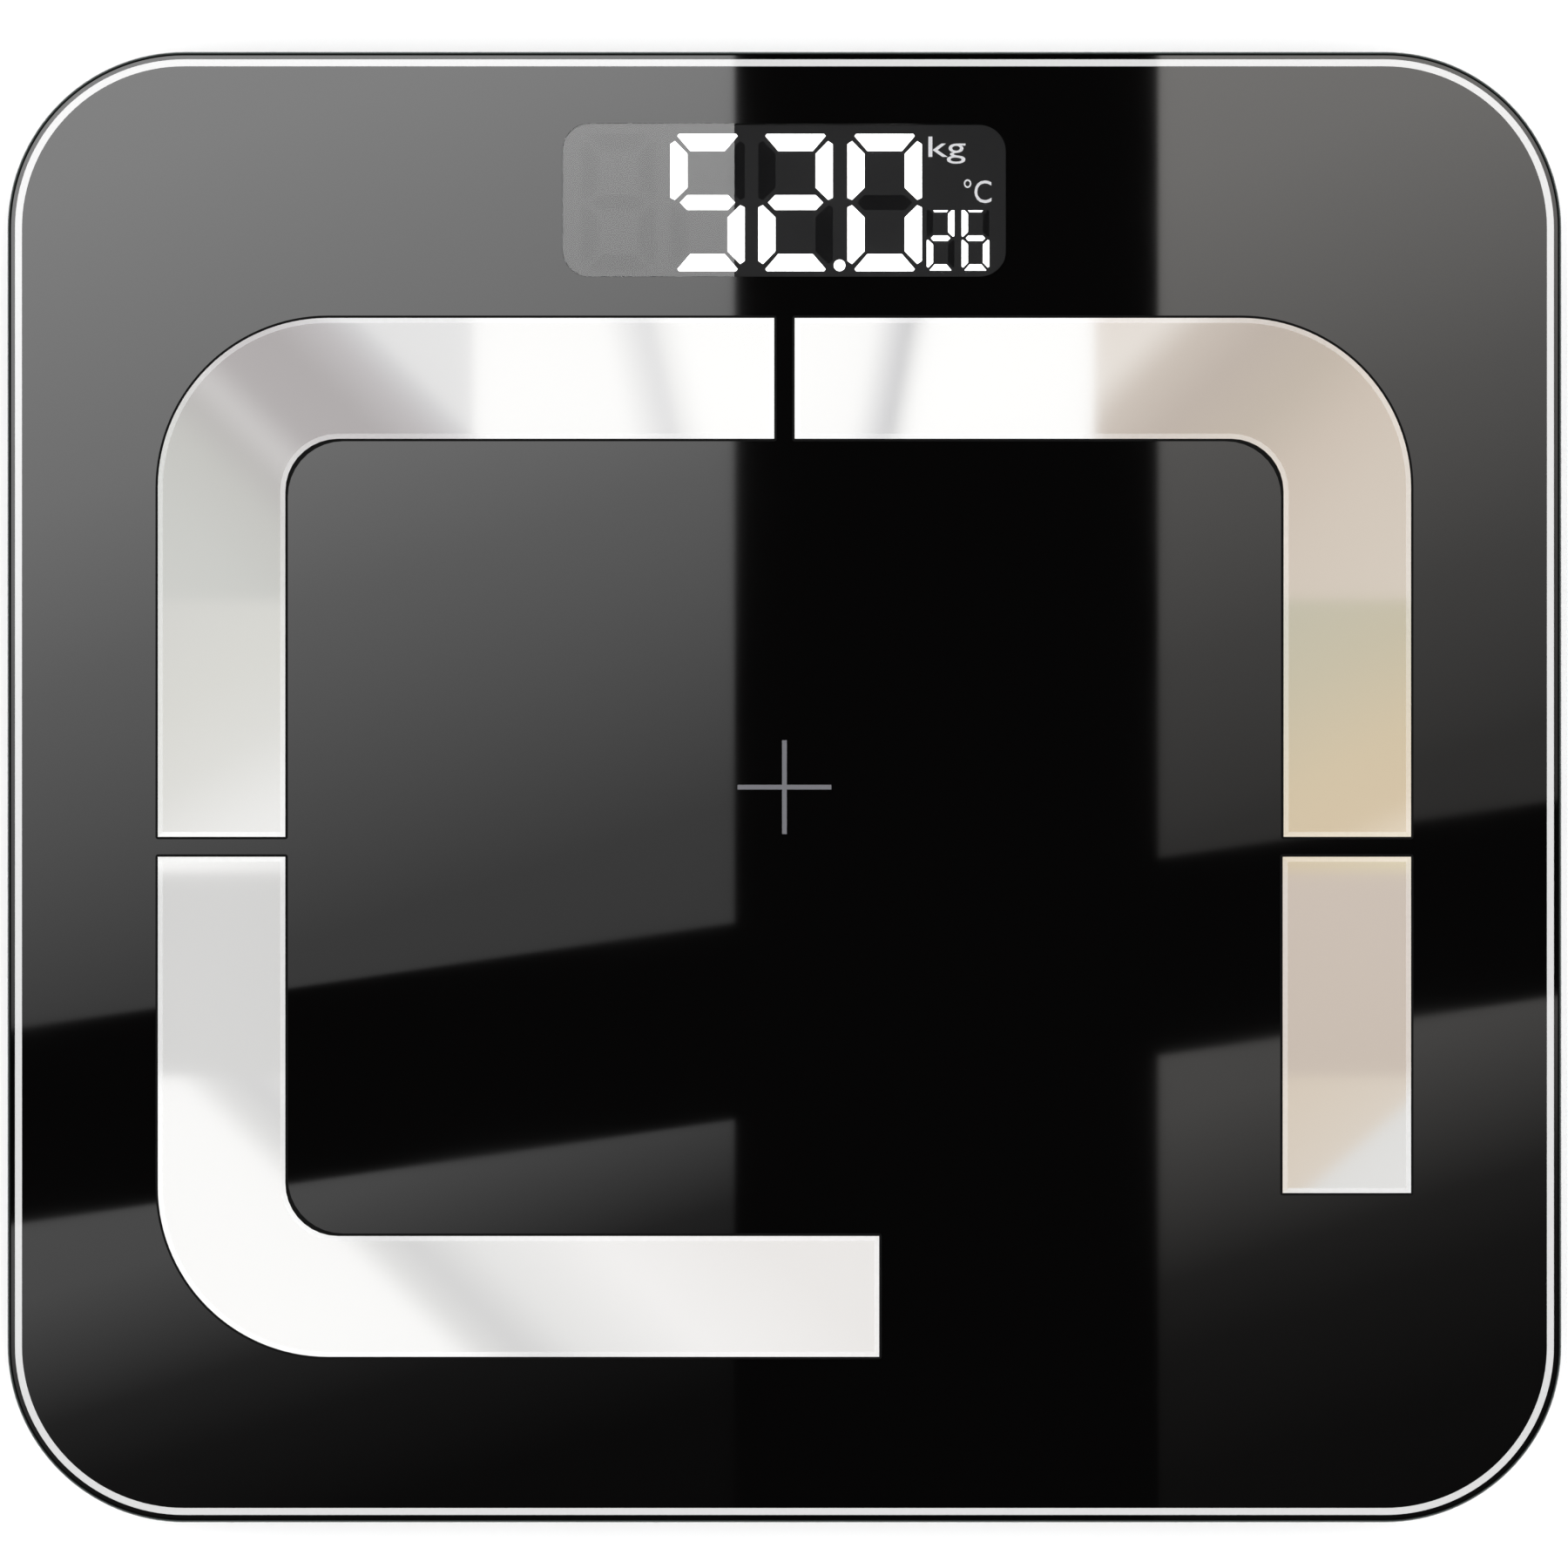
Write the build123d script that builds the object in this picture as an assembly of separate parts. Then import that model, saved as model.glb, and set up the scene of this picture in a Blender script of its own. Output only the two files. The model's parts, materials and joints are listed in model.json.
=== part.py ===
from build123d import *
import math
import os

# Digital bathroom scale: a glass platform with four steel electrode plates on a moulded base tray.
# Millimetres, +Z up, +X along the longest side, +Y towards the display.
# The origin is on the floor, under the middle of the glass.

# ---------------------------------------------------------------- driving dimensions
glass_length = 280.0
glass_width = 265.0
glass_corner_r = 31.8
glass_thickness = 5.0
glass_edge_chamfer = 0.6

electrode_thickness = 0.4
electrode_edge_chamfer = 0.2
electrode_margin_side = 27.15
electrode_margin_rear = 48.0
electrode_margin_front = 29.9
stud_inset_rear = 10.9
stud_inset_side = 11.45
electrode_side_band = 22.95
electrode_end_band = 21.75
electrode_outer_r = 30.6
electrode_inner_r = 9.5
top_gap = 3.7
side_gap = 3.6
side_gap_y = -10.75
front_left_end_x = 17.06
front_right_end_margin = 59.4
stud_r = 1.5
stud_collar_r = 3.5
stud_collar_height = 1.2
stud_tail = 3.4

film_thickness = 0.15
film_inset = 0.5
window_length = 80.0
window_width = 27.7
window_inset_rear = 12.9
window_corner_r = 4.8

tray_overhang = 5.0
tray_floor_z = 4.0
tray_floor_thickness = 2.0
tray_wall = 2.2
tray_side_draft = 3.5
tray_flange_reach = 1.5
tray_flange_thickness = 1.8
tray_flange_z = 16.85
tray_edge_fillet = 2.4
tape_thickness = 0.6
tape_margin = 0.4
tape_width = 2.8
rib_height = 2.5
rib_thickness = 1.2
rib_x = [-60.0, 60.0]
rib_y_margin = 72.5
pillar_r = 4.5
pillar_places = [(-90, 0), (90, 0), (-89, 46), (89, 46), (-44, 22), (44, 22),
                 (-36, -60), (36, -60), (0, -100), (0, -30)]

foot_margin = 36.0
foot_puck_r = 17.0
foot_puck_z = 1.2
foot_puck_thickness = 2.1
foot_pad_r = 15.0
foot_pad_thickness = 2.0
foot_pad_groove_depth = 0.5
foot_neck_wall = 2.4
foot_hook_reach = 1.5
foot_hook_height = 1.0
foot_hook_gap = 0.25
foot_slot = 1.6
foot_boss_r = 4.0
foot_hole_clearance = 0.5

cell_side = 34.0
cell_corner_r = 3.0
cell_thickness = 2.4
cell_rim = 4.0
cell_slot = 2.2
cell_tongue = 12.0
cell_z = 8.6
gauge_length = 8.0
gauge_width = 6.0
gauge_height = 0.8
clamp_border = 2.0
clamp_thickness = 2.0
clamp_notch = 4.0
ear_margin = 2.0
ear_r = 3.5
boss_r = 3.0

screw_r = 0.85
screw_hole_r = 1.15
screw_head_r = 2.0
screw_head_height = 1.2
screw_length = 5.0
screw_clearance = 0.05

board_length = 108.0
board_front_border = 5.9
board_rear_border = 1.0
board_z = 9.4
board_thickness = 1.6
board_screw_inset_x = 4.5
board_screw_inset_front = 6.0
board_screw_inset_rear = 4.6

display_margin = 1.5
display_height = 5.2
diffuser_depth = 2.0
diffuser_clearance = 0.05
mask_thickness = 0.15
digit_height = 25.0
digit_width = 13.65
digit_stroke = 3.3
digit_drop = 0.15
digit_x = [-30.0, -13.9, 2.0, 18.1]
digit_shown = ["", "5", "2", "0"]
small_digit_height = 11.9
small_digit_width = 5.2
small_digit_stroke = 1.35
small_digit_drop = 6.6
small_digit_x = [28.2, 34.5]
small_digit_shown = ["2", "6"]
point_x = 9.95
point_drop = 11.5
point_r = 1.15
icon_windows = [(29.35, 9.25, 7.6, 5.8), (34.95, 1.95, 6.0, 5.2)]

chip_side = 10.0
chip_height = 1.2
radio_length = 9.0
radio_width = 12.0
radio_height = 1.8
connector_length = 5.0
connector_width = 3.6
connector_height = 2.6
connector_x = [-38.0, -30.0, -22.0, -14.0, -4.5, 4.5, 14.0, 22.0, 30.0, 38.0]

button_x = -30.0
button_drop = 5.75
button_r = 4.4
button_flange_r = 5.6
button_flange_thickness = 0.9
button_sink = 0.1
button_clearance = 0.25
button_flange_gap = 0.15
switch_side = 6.0
switch_height = 1.5
plunger_r = 1.5
plunger_clearance = 0.12
switch_travel = 0.4

cell_radius = 5.25
cell_length = 44.5
cell_cap_r = 1.9
cell_cap_length = 1.1
cell_pitch = 11.1
cell_count = 3
bay_y = 24.0
bay_side_gap = 0.45
bay_bottom_gap = 0.25
bay_roof_gap = 0.1
bay_wall = 1.2
spring_length = 5.9
contact_thickness = 0.4
contact_height = 8.0
spring_wire_r = 0.35
spring_r_big = 3.1
spring_r_small = 1.9
spring_turns = 3.5
spring_end_gap = 0.06

door_thickness = 1.2
door_gap = 0.3
door_margin_x = 3.0
door_margin_latch = 4.0
door_margin_hook = 3.2
door_frame = 3.0
door_frame_rise = 1.3
hook_width = 9.0
hook_reach = 2.6
hook_thickness = 1.0
hook_offset_x = 18.0
hook_gap = 0.1
hook_clearance = 0.4
latch_width = 12.0
latch_slot = 1.0
latch_length = 9.0
latch_nose = 1.4
grip_groove_depth = 0.35

lead_r = 1.0
wire_r = 0.7
lead_z = 9.65
plug_depth = 0.6

# ---------------------------------------------------------------- levels and outlines that follow
electrode_ring_length = glass_length - 2 * electrode_margin_side
electrode_ring_width = glass_width - electrode_margin_rear - electrode_margin_front
electrode_ring_y = (electrode_margin_front - electrode_margin_rear) / 2
front_right_end_y = front_right_end_margin - glass_width / 2
window_y = glass_width / 2 - window_inset_rear - window_width / 2
foot_x = glass_length / 2 - foot_margin
foot_y = glass_width / 2 - foot_margin
foot_neck_r = cell_side / 2 - cell_rim - foot_hook_reach - foot_hole_clearance
ear_offset = cell_side / 2 + ear_margin
board_y_low = window_y - window_width / 2 - board_front_border
board_y_high = window_y + window_width / 2 + board_rear_border
board_screw_x = board_length / 2 - board_screw_inset_x
board_screw_places = [(sign * board_screw_x, y) for y in
                      (board_y_low + board_screw_inset_front, board_y_high - board_screw_inset_rear)
                      for sign in (-1, 1)]
digit_y = window_y - digit_drop
small_digit_y = window_y - small_digit_drop
button_y = window_y - button_drop
rib_y = [rib_y_margin - glass_width / 2, glass_width / 2 - rib_y_margin]
glass_z = 23.0 - electrode_thickness - glass_thickness
glass_top = glass_z + glass_thickness
film_z = glass_z - film_thickness
tray_floor_top = tray_floor_z + tray_floor_thickness
tray_flange_length = glass_length - 2 * tray_overhang
tray_flange_width = glass_width - 2 * tray_overhang
tray_flange_r = glass_corner_r - tray_overhang
tray_side_height = tray_flange_z - tray_floor_z
tray_side_angle = math.degrees(math.atan(tray_side_draft / tray_side_height))
cell_top = cell_z + cell_thickness
clamp_top = cell_top + clamp_thickness
board_top = board_z + board_thickness
display_top = board_top + display_height
mask_top = display_top + mask_thickness
display_length = window_length + 2 * display_margin
display_width = window_width + 2 * display_margin
door_z = tray_floor_z + door_thickness
battery_z = door_z + bay_bottom_gap + cell_radius
bay_roof_z = battery_z + cell_radius + bay_roof_gap
bay_length = cell_length + spring_length + 2 * contact_thickness
bay_width = 2 * cell_radius + (cell_count - 1) * cell_pitch + 2 * bay_side_gap
corners = {
    "rear_left": (-1, 1),
    "rear_right": (1, 1),
    "front_left": (-1, -1),
    "front_right": (1, -1),
}
stud_rear_y = electrode_ring_y + electrode_ring_width / 2 - stud_inset_rear
stud_side_x = electrode_ring_length / 2 - stud_inset_side
stud_places = {
    "upper_left": (-60.0, stud_rear_y),
    "upper_right": (60.0, stud_rear_y),
    "lower_left": (-stud_side_x, -40.0),
    "lower_right": (stud_side_x, -40.0),
}

nodes = {}


def keep(name, shape):
    nodes[name] = shape


def at(x, y, z):
    return Pos(x, y, z)


def slab(length, width, corner_r, z, height, x=0.0, y=0.0):
    """A flat plate with rounded corners, its underside at height z."""
    return extrude(at(x, y, z) * RectangleRounded(length, width, corner_r), amount=height)


def block(x_low, x_high, y_low, y_high, z_low, z_high):
    size = (x_high - x_low, y_high - y_low, z_high - z_low)
    middle = ((x_low + x_high) / 2, (y_low + y_high) / 2, (z_low + z_high) / 2)
    return Pos(*middle) * Box(*size)


def disc(x, y, z, radius, height):
    return at(x, y, z + height / 2) * Cylinder(radius, height)


def edges_at(shape, z):
    return shape.edges().filter_by_position(Axis.Z, z - 0.01, z + 0.01)


def pan_head_screw(x, y, seat_z):
    """A small pan-head screw whose head rests on seat_z and whose shank points down."""
    head = disc(x, y, seat_z, screw_head_r, screw_head_height)
    head = fillet(edges_at(head, seat_z + screw_head_height), 0.5)
    slot = screw_head_height * 0.4
    for length, width in ((2.2, 0.5), (0.5, 2.2)):
        cutter = at(x, y, seat_z + screw_head_height - slot / 2) * Box(length, width, slot)
        head -= cutter
    return head + disc(x, y, seat_z - screw_length, screw_r, screw_length)


def compound(solids):
    return Compound(children=[Solid(s.wrapped) for shape in solids for s in shape.solids()])


# ---------------------------------------------------------------- top plate and electrodes
def glass_platform():
    plate = slab(glass_length, glass_width, glass_corner_r, glass_z, glass_thickness)
    rims = edges_at(plate, glass_z) + edges_at(plate, glass_top)
    plate = chamfer(rims, glass_edge_chamfer)
    for x, y in stud_places.values():
        plate -= disc(x, y, glass_z - 1, stud_r + 0.2, glass_thickness + 2)
    return plate


def printed_film():
    """The black printed safety film under the glass, with the clear display window left out."""
    length = glass_length - 2 * (film_inset + glass_edge_chamfer)
    width = glass_width - 2 * (film_inset + glass_edge_chamfer)
    corner = glass_corner_r - film_inset - glass_edge_chamfer
    film = slab(length, width, corner, film_z, film_thickness)
    film -= slab(window_length, window_width, window_corner_r, film_z - 1, film_thickness + 2, 0, window_y)
    for x, y in stud_places.values():
        film -= disc(x, y, film_z - 1, stud_r + 0.2, film_thickness + 2)
    return film


def window_tint():
    gap = 0.05
    return slab(window_length - 2 * gap, window_width - 2 * gap, window_corner_r - gap,
                film_z, film_thickness, 0, window_y)


def electrode_ring():
    outline = RectangleRounded(electrode_ring_length, electrode_ring_width, electrode_outer_r)
    inner_length = electrode_ring_length - 2 * electrode_side_band
    inner_width = electrode_ring_width - 2 * electrode_end_band
    outline -= RectangleRounded(inner_length, inner_width, electrode_inner_r)
    return extrude(at(0, electrode_ring_y, glass_top) * outline, amount=electrode_thickness)


def electrodes():
    ring = electrode_ring()
    far = glass_length
    low = glass_top - 1
    high = glass_top + electrode_thickness + 1
    upper_y = side_gap_y + side_gap / 2
    lower_y = side_gap_y - side_gap / 2
    zones = {
        "upper_left": (-far, -top_gap / 2, upper_y, far),
        "upper_right": (top_gap / 2, far, upper_y, far),
        "lower_left": (-far, front_left_end_x, -far, lower_y),
        "lower_right": (front_left_end_x, far, front_right_end_y, lower_y),
    }
    for name, (x_low, x_high, y_low, y_high) in zones.items():
        plate = ring & block(x_low, x_high, y_low, y_high, low, high)
        plate = chamfer(edges_at(plate, glass_top + electrode_thickness), electrode_edge_chamfer)
        keep("electrode_" + name, plate)


def electrode_studs():
    """Studs welded under the electrodes, which pass through the glass and are clinched below it."""
    solids = []
    for x, y in stud_places.values():
        stud = disc(x, y, film_z - stud_tail, stud_r, glass_top - film_z + stud_tail)
        collar = disc(x, y, film_z - stud_collar_height, stud_collar_r, stud_collar_height)
        solids.append(stud + collar)
    return compound(solids)


# ---------------------------------------------------------------- base tray
def drafted(length, width, corner_r, z_low, z_high):
    """A block with rounded corners whose sides lean out at the tray's draft."""
    outline = at(0, 0, z_low) * RectangleRounded(length, width, corner_r)
    return extrude(outline, amount=z_high - z_low, taper=-tray_side_angle)


def tray_shell():
    foot_inset = tray_flange_reach + tray_side_draft
    floor_length = tray_flange_length - 2 * foot_inset
    floor_width = tray_flange_width - 2 * foot_inset
    floor_r = tray_flange_r - foot_inset
    shell = drafted(floor_length, floor_width, floor_r, tray_floor_z, tray_flange_z)
    shell = fillet(edges_at(shell, tray_floor_z), tray_edge_fillet)
    shell += slab(tray_flange_length, tray_flange_width, tray_flange_r,
                  tray_flange_z - tray_flange_thickness, tray_flange_thickness)
    lean = tray_floor_thickness * math.tan(math.radians(tray_side_angle))
    inset = tray_wall - lean
    shell -= drafted(floor_length - 2 * inset, floor_width - 2 * inset, floor_r - inset,
                     tray_floor_top, tray_flange_z + 1)
    return shell, floor_length / 2 - inset, floor_width / 2 - inset


def door_box():
    """The door's outline in plan: x half length, latch-side y and the hinge line's y."""
    half = bay_length / 2 + bay_wall + door_margin_x
    y_latch = bay_y - bay_width / 2 - door_margin_latch
    y_hinge = bay_y + bay_width / 2 + door_margin_hook
    return half, y_latch, y_hinge


def base_tray():
    tray, inner_x, inner_y = tray_shell()
    rib_top = tray_floor_top + rib_height
    half = rib_thickness / 2
    reach = 0.3
    for x in rib_x:
        tray += block(x - half, x + half, -inner_y - reach, inner_y + reach, tray_floor_top, rib_top)
    for y in rib_y:
        tray += block(-inner_x - reach, inner_x + reach, y - half, y + half, tray_floor_top, rib_top)
    tray += block(-half, half, -inner_y - reach, bay_y - bay_width / 2, tray_floor_top, rib_top)
    for x, y in pillar_places:
        tray += disc(x, y, tray_floor_top, pillar_r, tray_flange_z - tray_floor_top)

    seat_side = cell_side + 2 * clamp_border
    for sx, sy in corners.values():
        x, y = sx * foot_x, sy * foot_y
        seat = slab(seat_side, seat_side, cell_corner_r + clamp_border, tray_floor_top,
                    cell_z - tray_floor_top, x, y)
        seat -= slab(cell_side - 2 * cell_rim, cell_side - 2 * cell_rim, cell_corner_r, tray_floor_top,
                     cell_z, x, y)
        tray += seat
        tray -= disc(x, y, tray_floor_z - 1, foot_neck_r + foot_hole_clearance, tray_floor_thickness + 2)
        for ear_x, ear_y in clamp_ears(sx, sy):
            tray += disc(ear_x, ear_y, tray_floor_top, boss_r, cell_top - tray_floor_top)
            tray -= disc(ear_x, ear_y, cell_top - screw_length, screw_r + screw_clearance, screw_length + 1)

    for x, y in board_screw_places:
        tray += disc(x, y, tray_floor_top, boss_r, board_z - tray_floor_top)
        tray -= disc(x, y, board_z - screw_length + 1, screw_r + screw_clearance, screw_length)

    tray -= disc(button_x, button_y, tray_floor_z - 1, button_r + button_clearance,
                 tray_floor_thickness + 2)
    return battery_bay(tray)


def battery_bay(tray):
    half, y_latch, y_hinge = door_box()
    bay_x = bay_length / 2
    y_low = bay_y - bay_width / 2
    y_high = bay_y + bay_width / 2
    frame_top = tray_floor_top + door_frame_rise
    tray += block(-half - door_frame, half + door_frame, y_latch - door_frame, y_hinge + door_frame + 2,
                  tray_floor_top - 0.5, frame_top)
    tray += block(-bay_x - bay_wall, bay_x + bay_wall, y_low - bay_wall, y_high + bay_wall,
                  tray_floor_top, tray_flange_z)
    tray -= block(-bay_x, bay_x, y_low, y_high, tray_floor_z - 1, bay_roof_z)
    round_r = door_thickness + door_gap
    tray -= block(-half - door_gap, half + door_gap, y_latch - door_gap, y_hinge,
                  tray_floor_z - 1, door_z + 0.1)
    tray -= block(-half - door_gap, half + door_gap, y_hinge - 1, y_hinge + round_r,
                  tray_floor_z - 1, door_z)
    groove = at(0, y_hinge, door_z) * Rot(0, 90, 0) * Cylinder(round_r, 2 * (half + door_gap))
    tray -= groove
    for x in (-hook_offset_x, hook_offset_x):
        wide = hook_width / 2 + hook_clearance
        tray -= block(x - wide, x + wide, y_hinge - 2.0, y_hinge + hook_reach + hook_clearance,
                      door_z, frame_top + hook_reach + 1)
    nose_wide = latch_width / 2 + door_gap
    tray -= block(-nose_wide, nose_wide, y_latch - latch_nose - door_gap, y_latch + 1,
                  tray_floor_z - 1, door_z + 0.1)
    return tray


def clamp_ears(sx, sy):
    """The two screw ears of a clamp, on the diagonal that runs along the tray's corner."""
    x, y = sx * foot_x, sy * foot_y
    return [(x - sx * ear_offset, y + sy * ear_offset), (x + sx * ear_offset, y - sy * ear_offset)]


def glass_tape():
    """Foam tape between the tray and the film: a ring on the flange and a disc on each pillar."""
    outer_length = tray_flange_length - 2 * tape_margin
    outer_width = tray_flange_width - 2 * tape_margin
    outer_r = tray_flange_r - tape_margin
    ring = slab(outer_length, outer_width, outer_r, tray_flange_z, tape_thickness)
    ring -= slab(outer_length - 2 * tape_width, outer_width - 2 * tape_width, outer_r - tape_width,
                 tray_flange_z - 1, tape_thickness + 2)
    solids = [ring]
    for x, y in pillar_places:
        solids.append(disc(x, y, tray_flange_z, pillar_r - tape_margin, tape_thickness))
    return compound(solids)


# ---------------------------------------------------------------- weighing parts at each corner
def foot_button(x, y):
    """A snap-in puck that hangs from the tray and carries its share of the load on a central boss."""
    top = foot_puck_z + foot_puck_thickness
    puck = disc(x, y, foot_puck_z, foot_puck_r, foot_puck_thickness)
    puck = fillet(edges_at(puck, top), 0.8)
    hook_z = tray_floor_top + foot_hook_gap
    neck = disc(x, y, top, foot_neck_r, hook_z + foot_hook_height - top)
    hook = disc(x, y, hook_z, foot_neck_r + foot_hook_reach, foot_hook_height)
    hook = chamfer(edges_at(hook, hook_z + foot_hook_height), 0.5)
    claws = neck + hook
    claws -= disc(x, y, top, foot_neck_r - foot_neck_wall, 10)
    for angle in (45, 135):
        slot = at(x, y, hook_z) * Rot(0, 0, angle) * Box(4 * foot_neck_r, foot_slot, 2 * (hook_z - top) - 1.2)
        claws -= slot
    boss = disc(x, y, top - 0.5, foot_boss_r, cell_z - top + 0.5)
    boss = fillet(edges_at(boss, cell_z), 0.8)
    foot = puck + claws + boss
    recess = foot_pad_thickness - foot_puck_z
    foot -= disc(x, y, foot_puck_z, foot_pad_r + 0.1, recess)
    return foot


def foot_pad(x, y):
    """The rubber disc under a foot, with grip rings moulded in its underside."""
    pad = disc(x, y, 0, foot_pad_r, foot_pad_thickness)
    pad = chamfer(edges_at(pad, 0), 0.4)
    for radius in (5.0, 9.0):
        ring = disc(x, y, 0, radius + 0.8, foot_pad_groove_depth)
        ring -= disc(x, y, 0, radius - 0.8, foot_pad_groove_depth)
        pad -= ring
    return pad


def load_cell(x, y, sx):
    """A steel plate whose centre tongue bends; the slot round the tongue is open towards the middle."""
    plate = slab(cell_side, cell_side, cell_corner_r, cell_z, cell_thickness, x, y)
    span = cell_side - 2 * cell_rim
    half_tongue = cell_tongue / 2
    cut_low, cut_high = cell_z - 1, cell_top + 1
    for side in (-1, 1):
        low = y + side * (half_tongue + cell_slot / 2) - cell_slot / 2
        plate -= block(x - span / 2, x + span / 2, low, low + cell_slot, cut_low, cut_high)
    end = x + sx * (span / 2 - cell_slot / 2)
    plate -= block(end - cell_slot / 2, end + cell_slot / 2, y - half_tongue, y + half_tongue,
                   cut_low, cut_high)
    return plate


def strain_gauge(x, y, sx):
    """The foil gauge near the tongue's root, under a pad of soft sealant."""
    gauge = slab(gauge_length, gauge_width, 1.2, cell_top, gauge_height, x - sx * 5.0, y)
    return fillet(edges_at(gauge, cell_top + gauge_height), 0.4)


def load_cell_clamp(sx, sy):
    x, y = sx * foot_x, sy * foot_y
    side = cell_side + 2 * clamp_border
    window = cell_side - 2 * cell_rim
    clamp = slab(side, side, cell_corner_r + clamp_border, cell_top, clamp_thickness, x, y)
    for ear_x, ear_y in clamp_ears(sx, sy):
        clamp += disc(ear_x, ear_y, cell_top, ear_r, clamp_thickness)
    clamp -= slab(window, window, cell_corner_r, cell_top - 1, clamp_thickness + 2, x, y)
    for ear_x, ear_y in clamp_ears(sx, sy):
        clamp -= disc(ear_x, ear_y, cell_top - 1, screw_hole_r, clamp_thickness + 2)
    inner = x - sx * (window / 2 - 1)
    outer = x - sx * (side / 2 + 1)
    clamp -= block(min(inner, outer), max(inner, outer), y - clamp_notch / 2, y + clamp_notch / 2,
                   cell_top - 1, clamp_top + 1)
    return clamp


def clamp_screws():
    places = [place for sx, sy in corners.values() for place in clamp_ears(sx, sy)]
    return compound([pan_head_screw(x, y, clamp_top) for x, y in places])


def corner_parts():
    for name, (sx, sy) in corners.items():
        x, y = sx * foot_x, sy * foot_y
        keep("foot_button_" + name, foot_button(x, y))
        keep("foot_pad_" + name, foot_pad(x, y))
        keep("load_cell_" + name, load_cell(x, y, sx))
        keep("strain_gauge_" + name, strain_gauge(x, y, sx))
        keep("load_cell_clamp_" + name, load_cell_clamp(sx, sy))


# ---------------------------------------------------------------- seven-segment display
def segment_outlines(width, height, stroke):
    """The seven bars of a digit as corner lists, named a to g, about the digit's lower left corner."""
    k = stroke / 3.3
    near, tip, shoulder, end = 0.35 * k, 0.95 * k, 1.25 * k, 1.9 * k
    mid = height / 2
    half_bar = 1.45 * k
    point = 1.7 * k
    slope = 3.1 * k
    upright = [(0, end), (tip, shoulder), (stroke, stroke + near),
               (stroke, mid - stroke * 0.8), (tip, mid - near), (0, mid - 0.8 * k)]
    flat = [(shoulder + near, 0), (width - shoulder - near, 0), (width - shoulder, 0.5 * k),
            (width - stroke - near, stroke), (stroke + near, stroke), (shoulder, 0.5 * k)]
    bar = [(point, mid), (slope, mid - half_bar), (width - slope, mid - half_bar),
           (width - point, mid), (width - slope, mid + half_bar), (slope, mid + half_bar)]
    right = [(width - x, y) for x, y in upright]
    return {
        "a": [(x, height - y) for x, y in flat],
        "b": [(x, height - y) for x, y in right],
        "c": right,
        "d": flat,
        "e": upright,
        "f": [(x, height - y) for x, y in upright],
        "g": bar,
    }


digit_segments = {
    "": "",
    "0": "abcdef",
    "2": "abged",
    "5": "afgcd",
    "6": "afgedc",
}


def display_openings():
    """Every light opening of the display as a flat face, split into the lit and the dark ones."""
    lit = []
    dark = []
    groups = [
        (digit_x, digit_shown, digit_y, digit_width, digit_height, digit_stroke),
        (small_digit_x, small_digit_shown, small_digit_y, small_digit_width, small_digit_height,
         small_digit_stroke),
    ]
    for places, shown, middle_y, width, height, stroke in groups:
        for x, text in zip(places, shown):
            for name, points in segment_outlines(width, height, stroke).items():
                moved = [(px + x - width / 2, py + middle_y - height / 2) for px, py in points]
                face = make_face(Polyline(*moved, close=True))
                target = lit if name in digit_segments[text] else dark
                target.append(face)
    lit.append(at(point_x, window_y - point_drop, 0) * Circle(point_r))
    for x, rise, length, width in icon_windows:
        lit.append(at(x, window_y + rise, 0) * RectangleRounded(length, width, 0.6))
    return lit, dark


def raised(faces, z, height, shrink=0.0):
    solids = []
    for face in faces:
        outline = offset(face, amount=-shrink, kind=Kind.INTERSECTION) if shrink else face
        solids.append(extrude(at(0, 0, z) * outline, amount=height))
    return solids


def display_parts():
    lit, dark = display_openings()
    housing = slab(display_length, display_width, 1.0, board_top, display_height, 0, window_y)
    mask = slab(display_length, display_width, 1.0, display_top, mask_thickness, 0, window_y)
    for well in raised(lit + dark, board_top + 1.2, display_height):
        housing -= well
    for opening in raised(lit + dark, display_top - 1, mask_thickness + 2, 0.1):
        mask -= opening
    keep("display_housing", housing)
    keep("display_mask", mask)
    diffuser_z = display_top - diffuser_depth
    keep("display_segments_lit", compound(raised(lit, diffuser_z, diffuser_depth, diffuser_clearance)))
    keep("display_segments_dark", compound(raised(dark, diffuser_z, diffuser_depth, diffuser_clearance)))
    gasket = slab(display_length, display_width, 1.0, mask_top, film_z - mask_top, 0, window_y)
    gasket -= slab(window_length, window_width, window_corner_r, mask_top - 1, film_z, 0, window_y)
    keep("display_gasket", gasket)


# ---------------------------------------------------------------- circuit board and switch
def main_board():
    middle_y = (board_y_low + board_y_high) / 2
    board = slab(board_length, board_y_high - board_y_low, 1.5, board_z, board_thickness, 0, middle_y)
    for x, y in board_screw_places:
        board -= disc(x, y, board_z - 1, screw_hole_r, board_thickness + 2)
    return board


def board_parts():
    keep("main_board", main_board())
    keep("board_screws", compound([pan_head_screw(x, y, board_top) for x, y in board_screw_places]))
    chip = at(20, 104, board_z - chip_height / 2) * Box(chip_side, chip_side, chip_height)
    keep("controller_chip", chamfer(edges_at(chip, board_z - chip_height), 0.2))
    radio_x = board_length / 2 - radio_length / 2 - 1.5
    radio = at(radio_x, 104, board_top + radio_height / 2) * Box(radio_length, radio_width, radio_height)
    keep("radio_module", fillet(edges_at(radio, board_top + radio_height), 0.3))
    connector_y = board_y_low + connector_width / 2
    blocks = []
    for x in connector_x:
        middle = at(x, connector_y, board_top + connector_height / 2)
        body = middle * Box(connector_length, connector_width, connector_height)
        blocks.append(chamfer(edges_at(body, board_top + connector_height), 0.3))
    keep("lead_connectors", compound(blocks))


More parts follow.
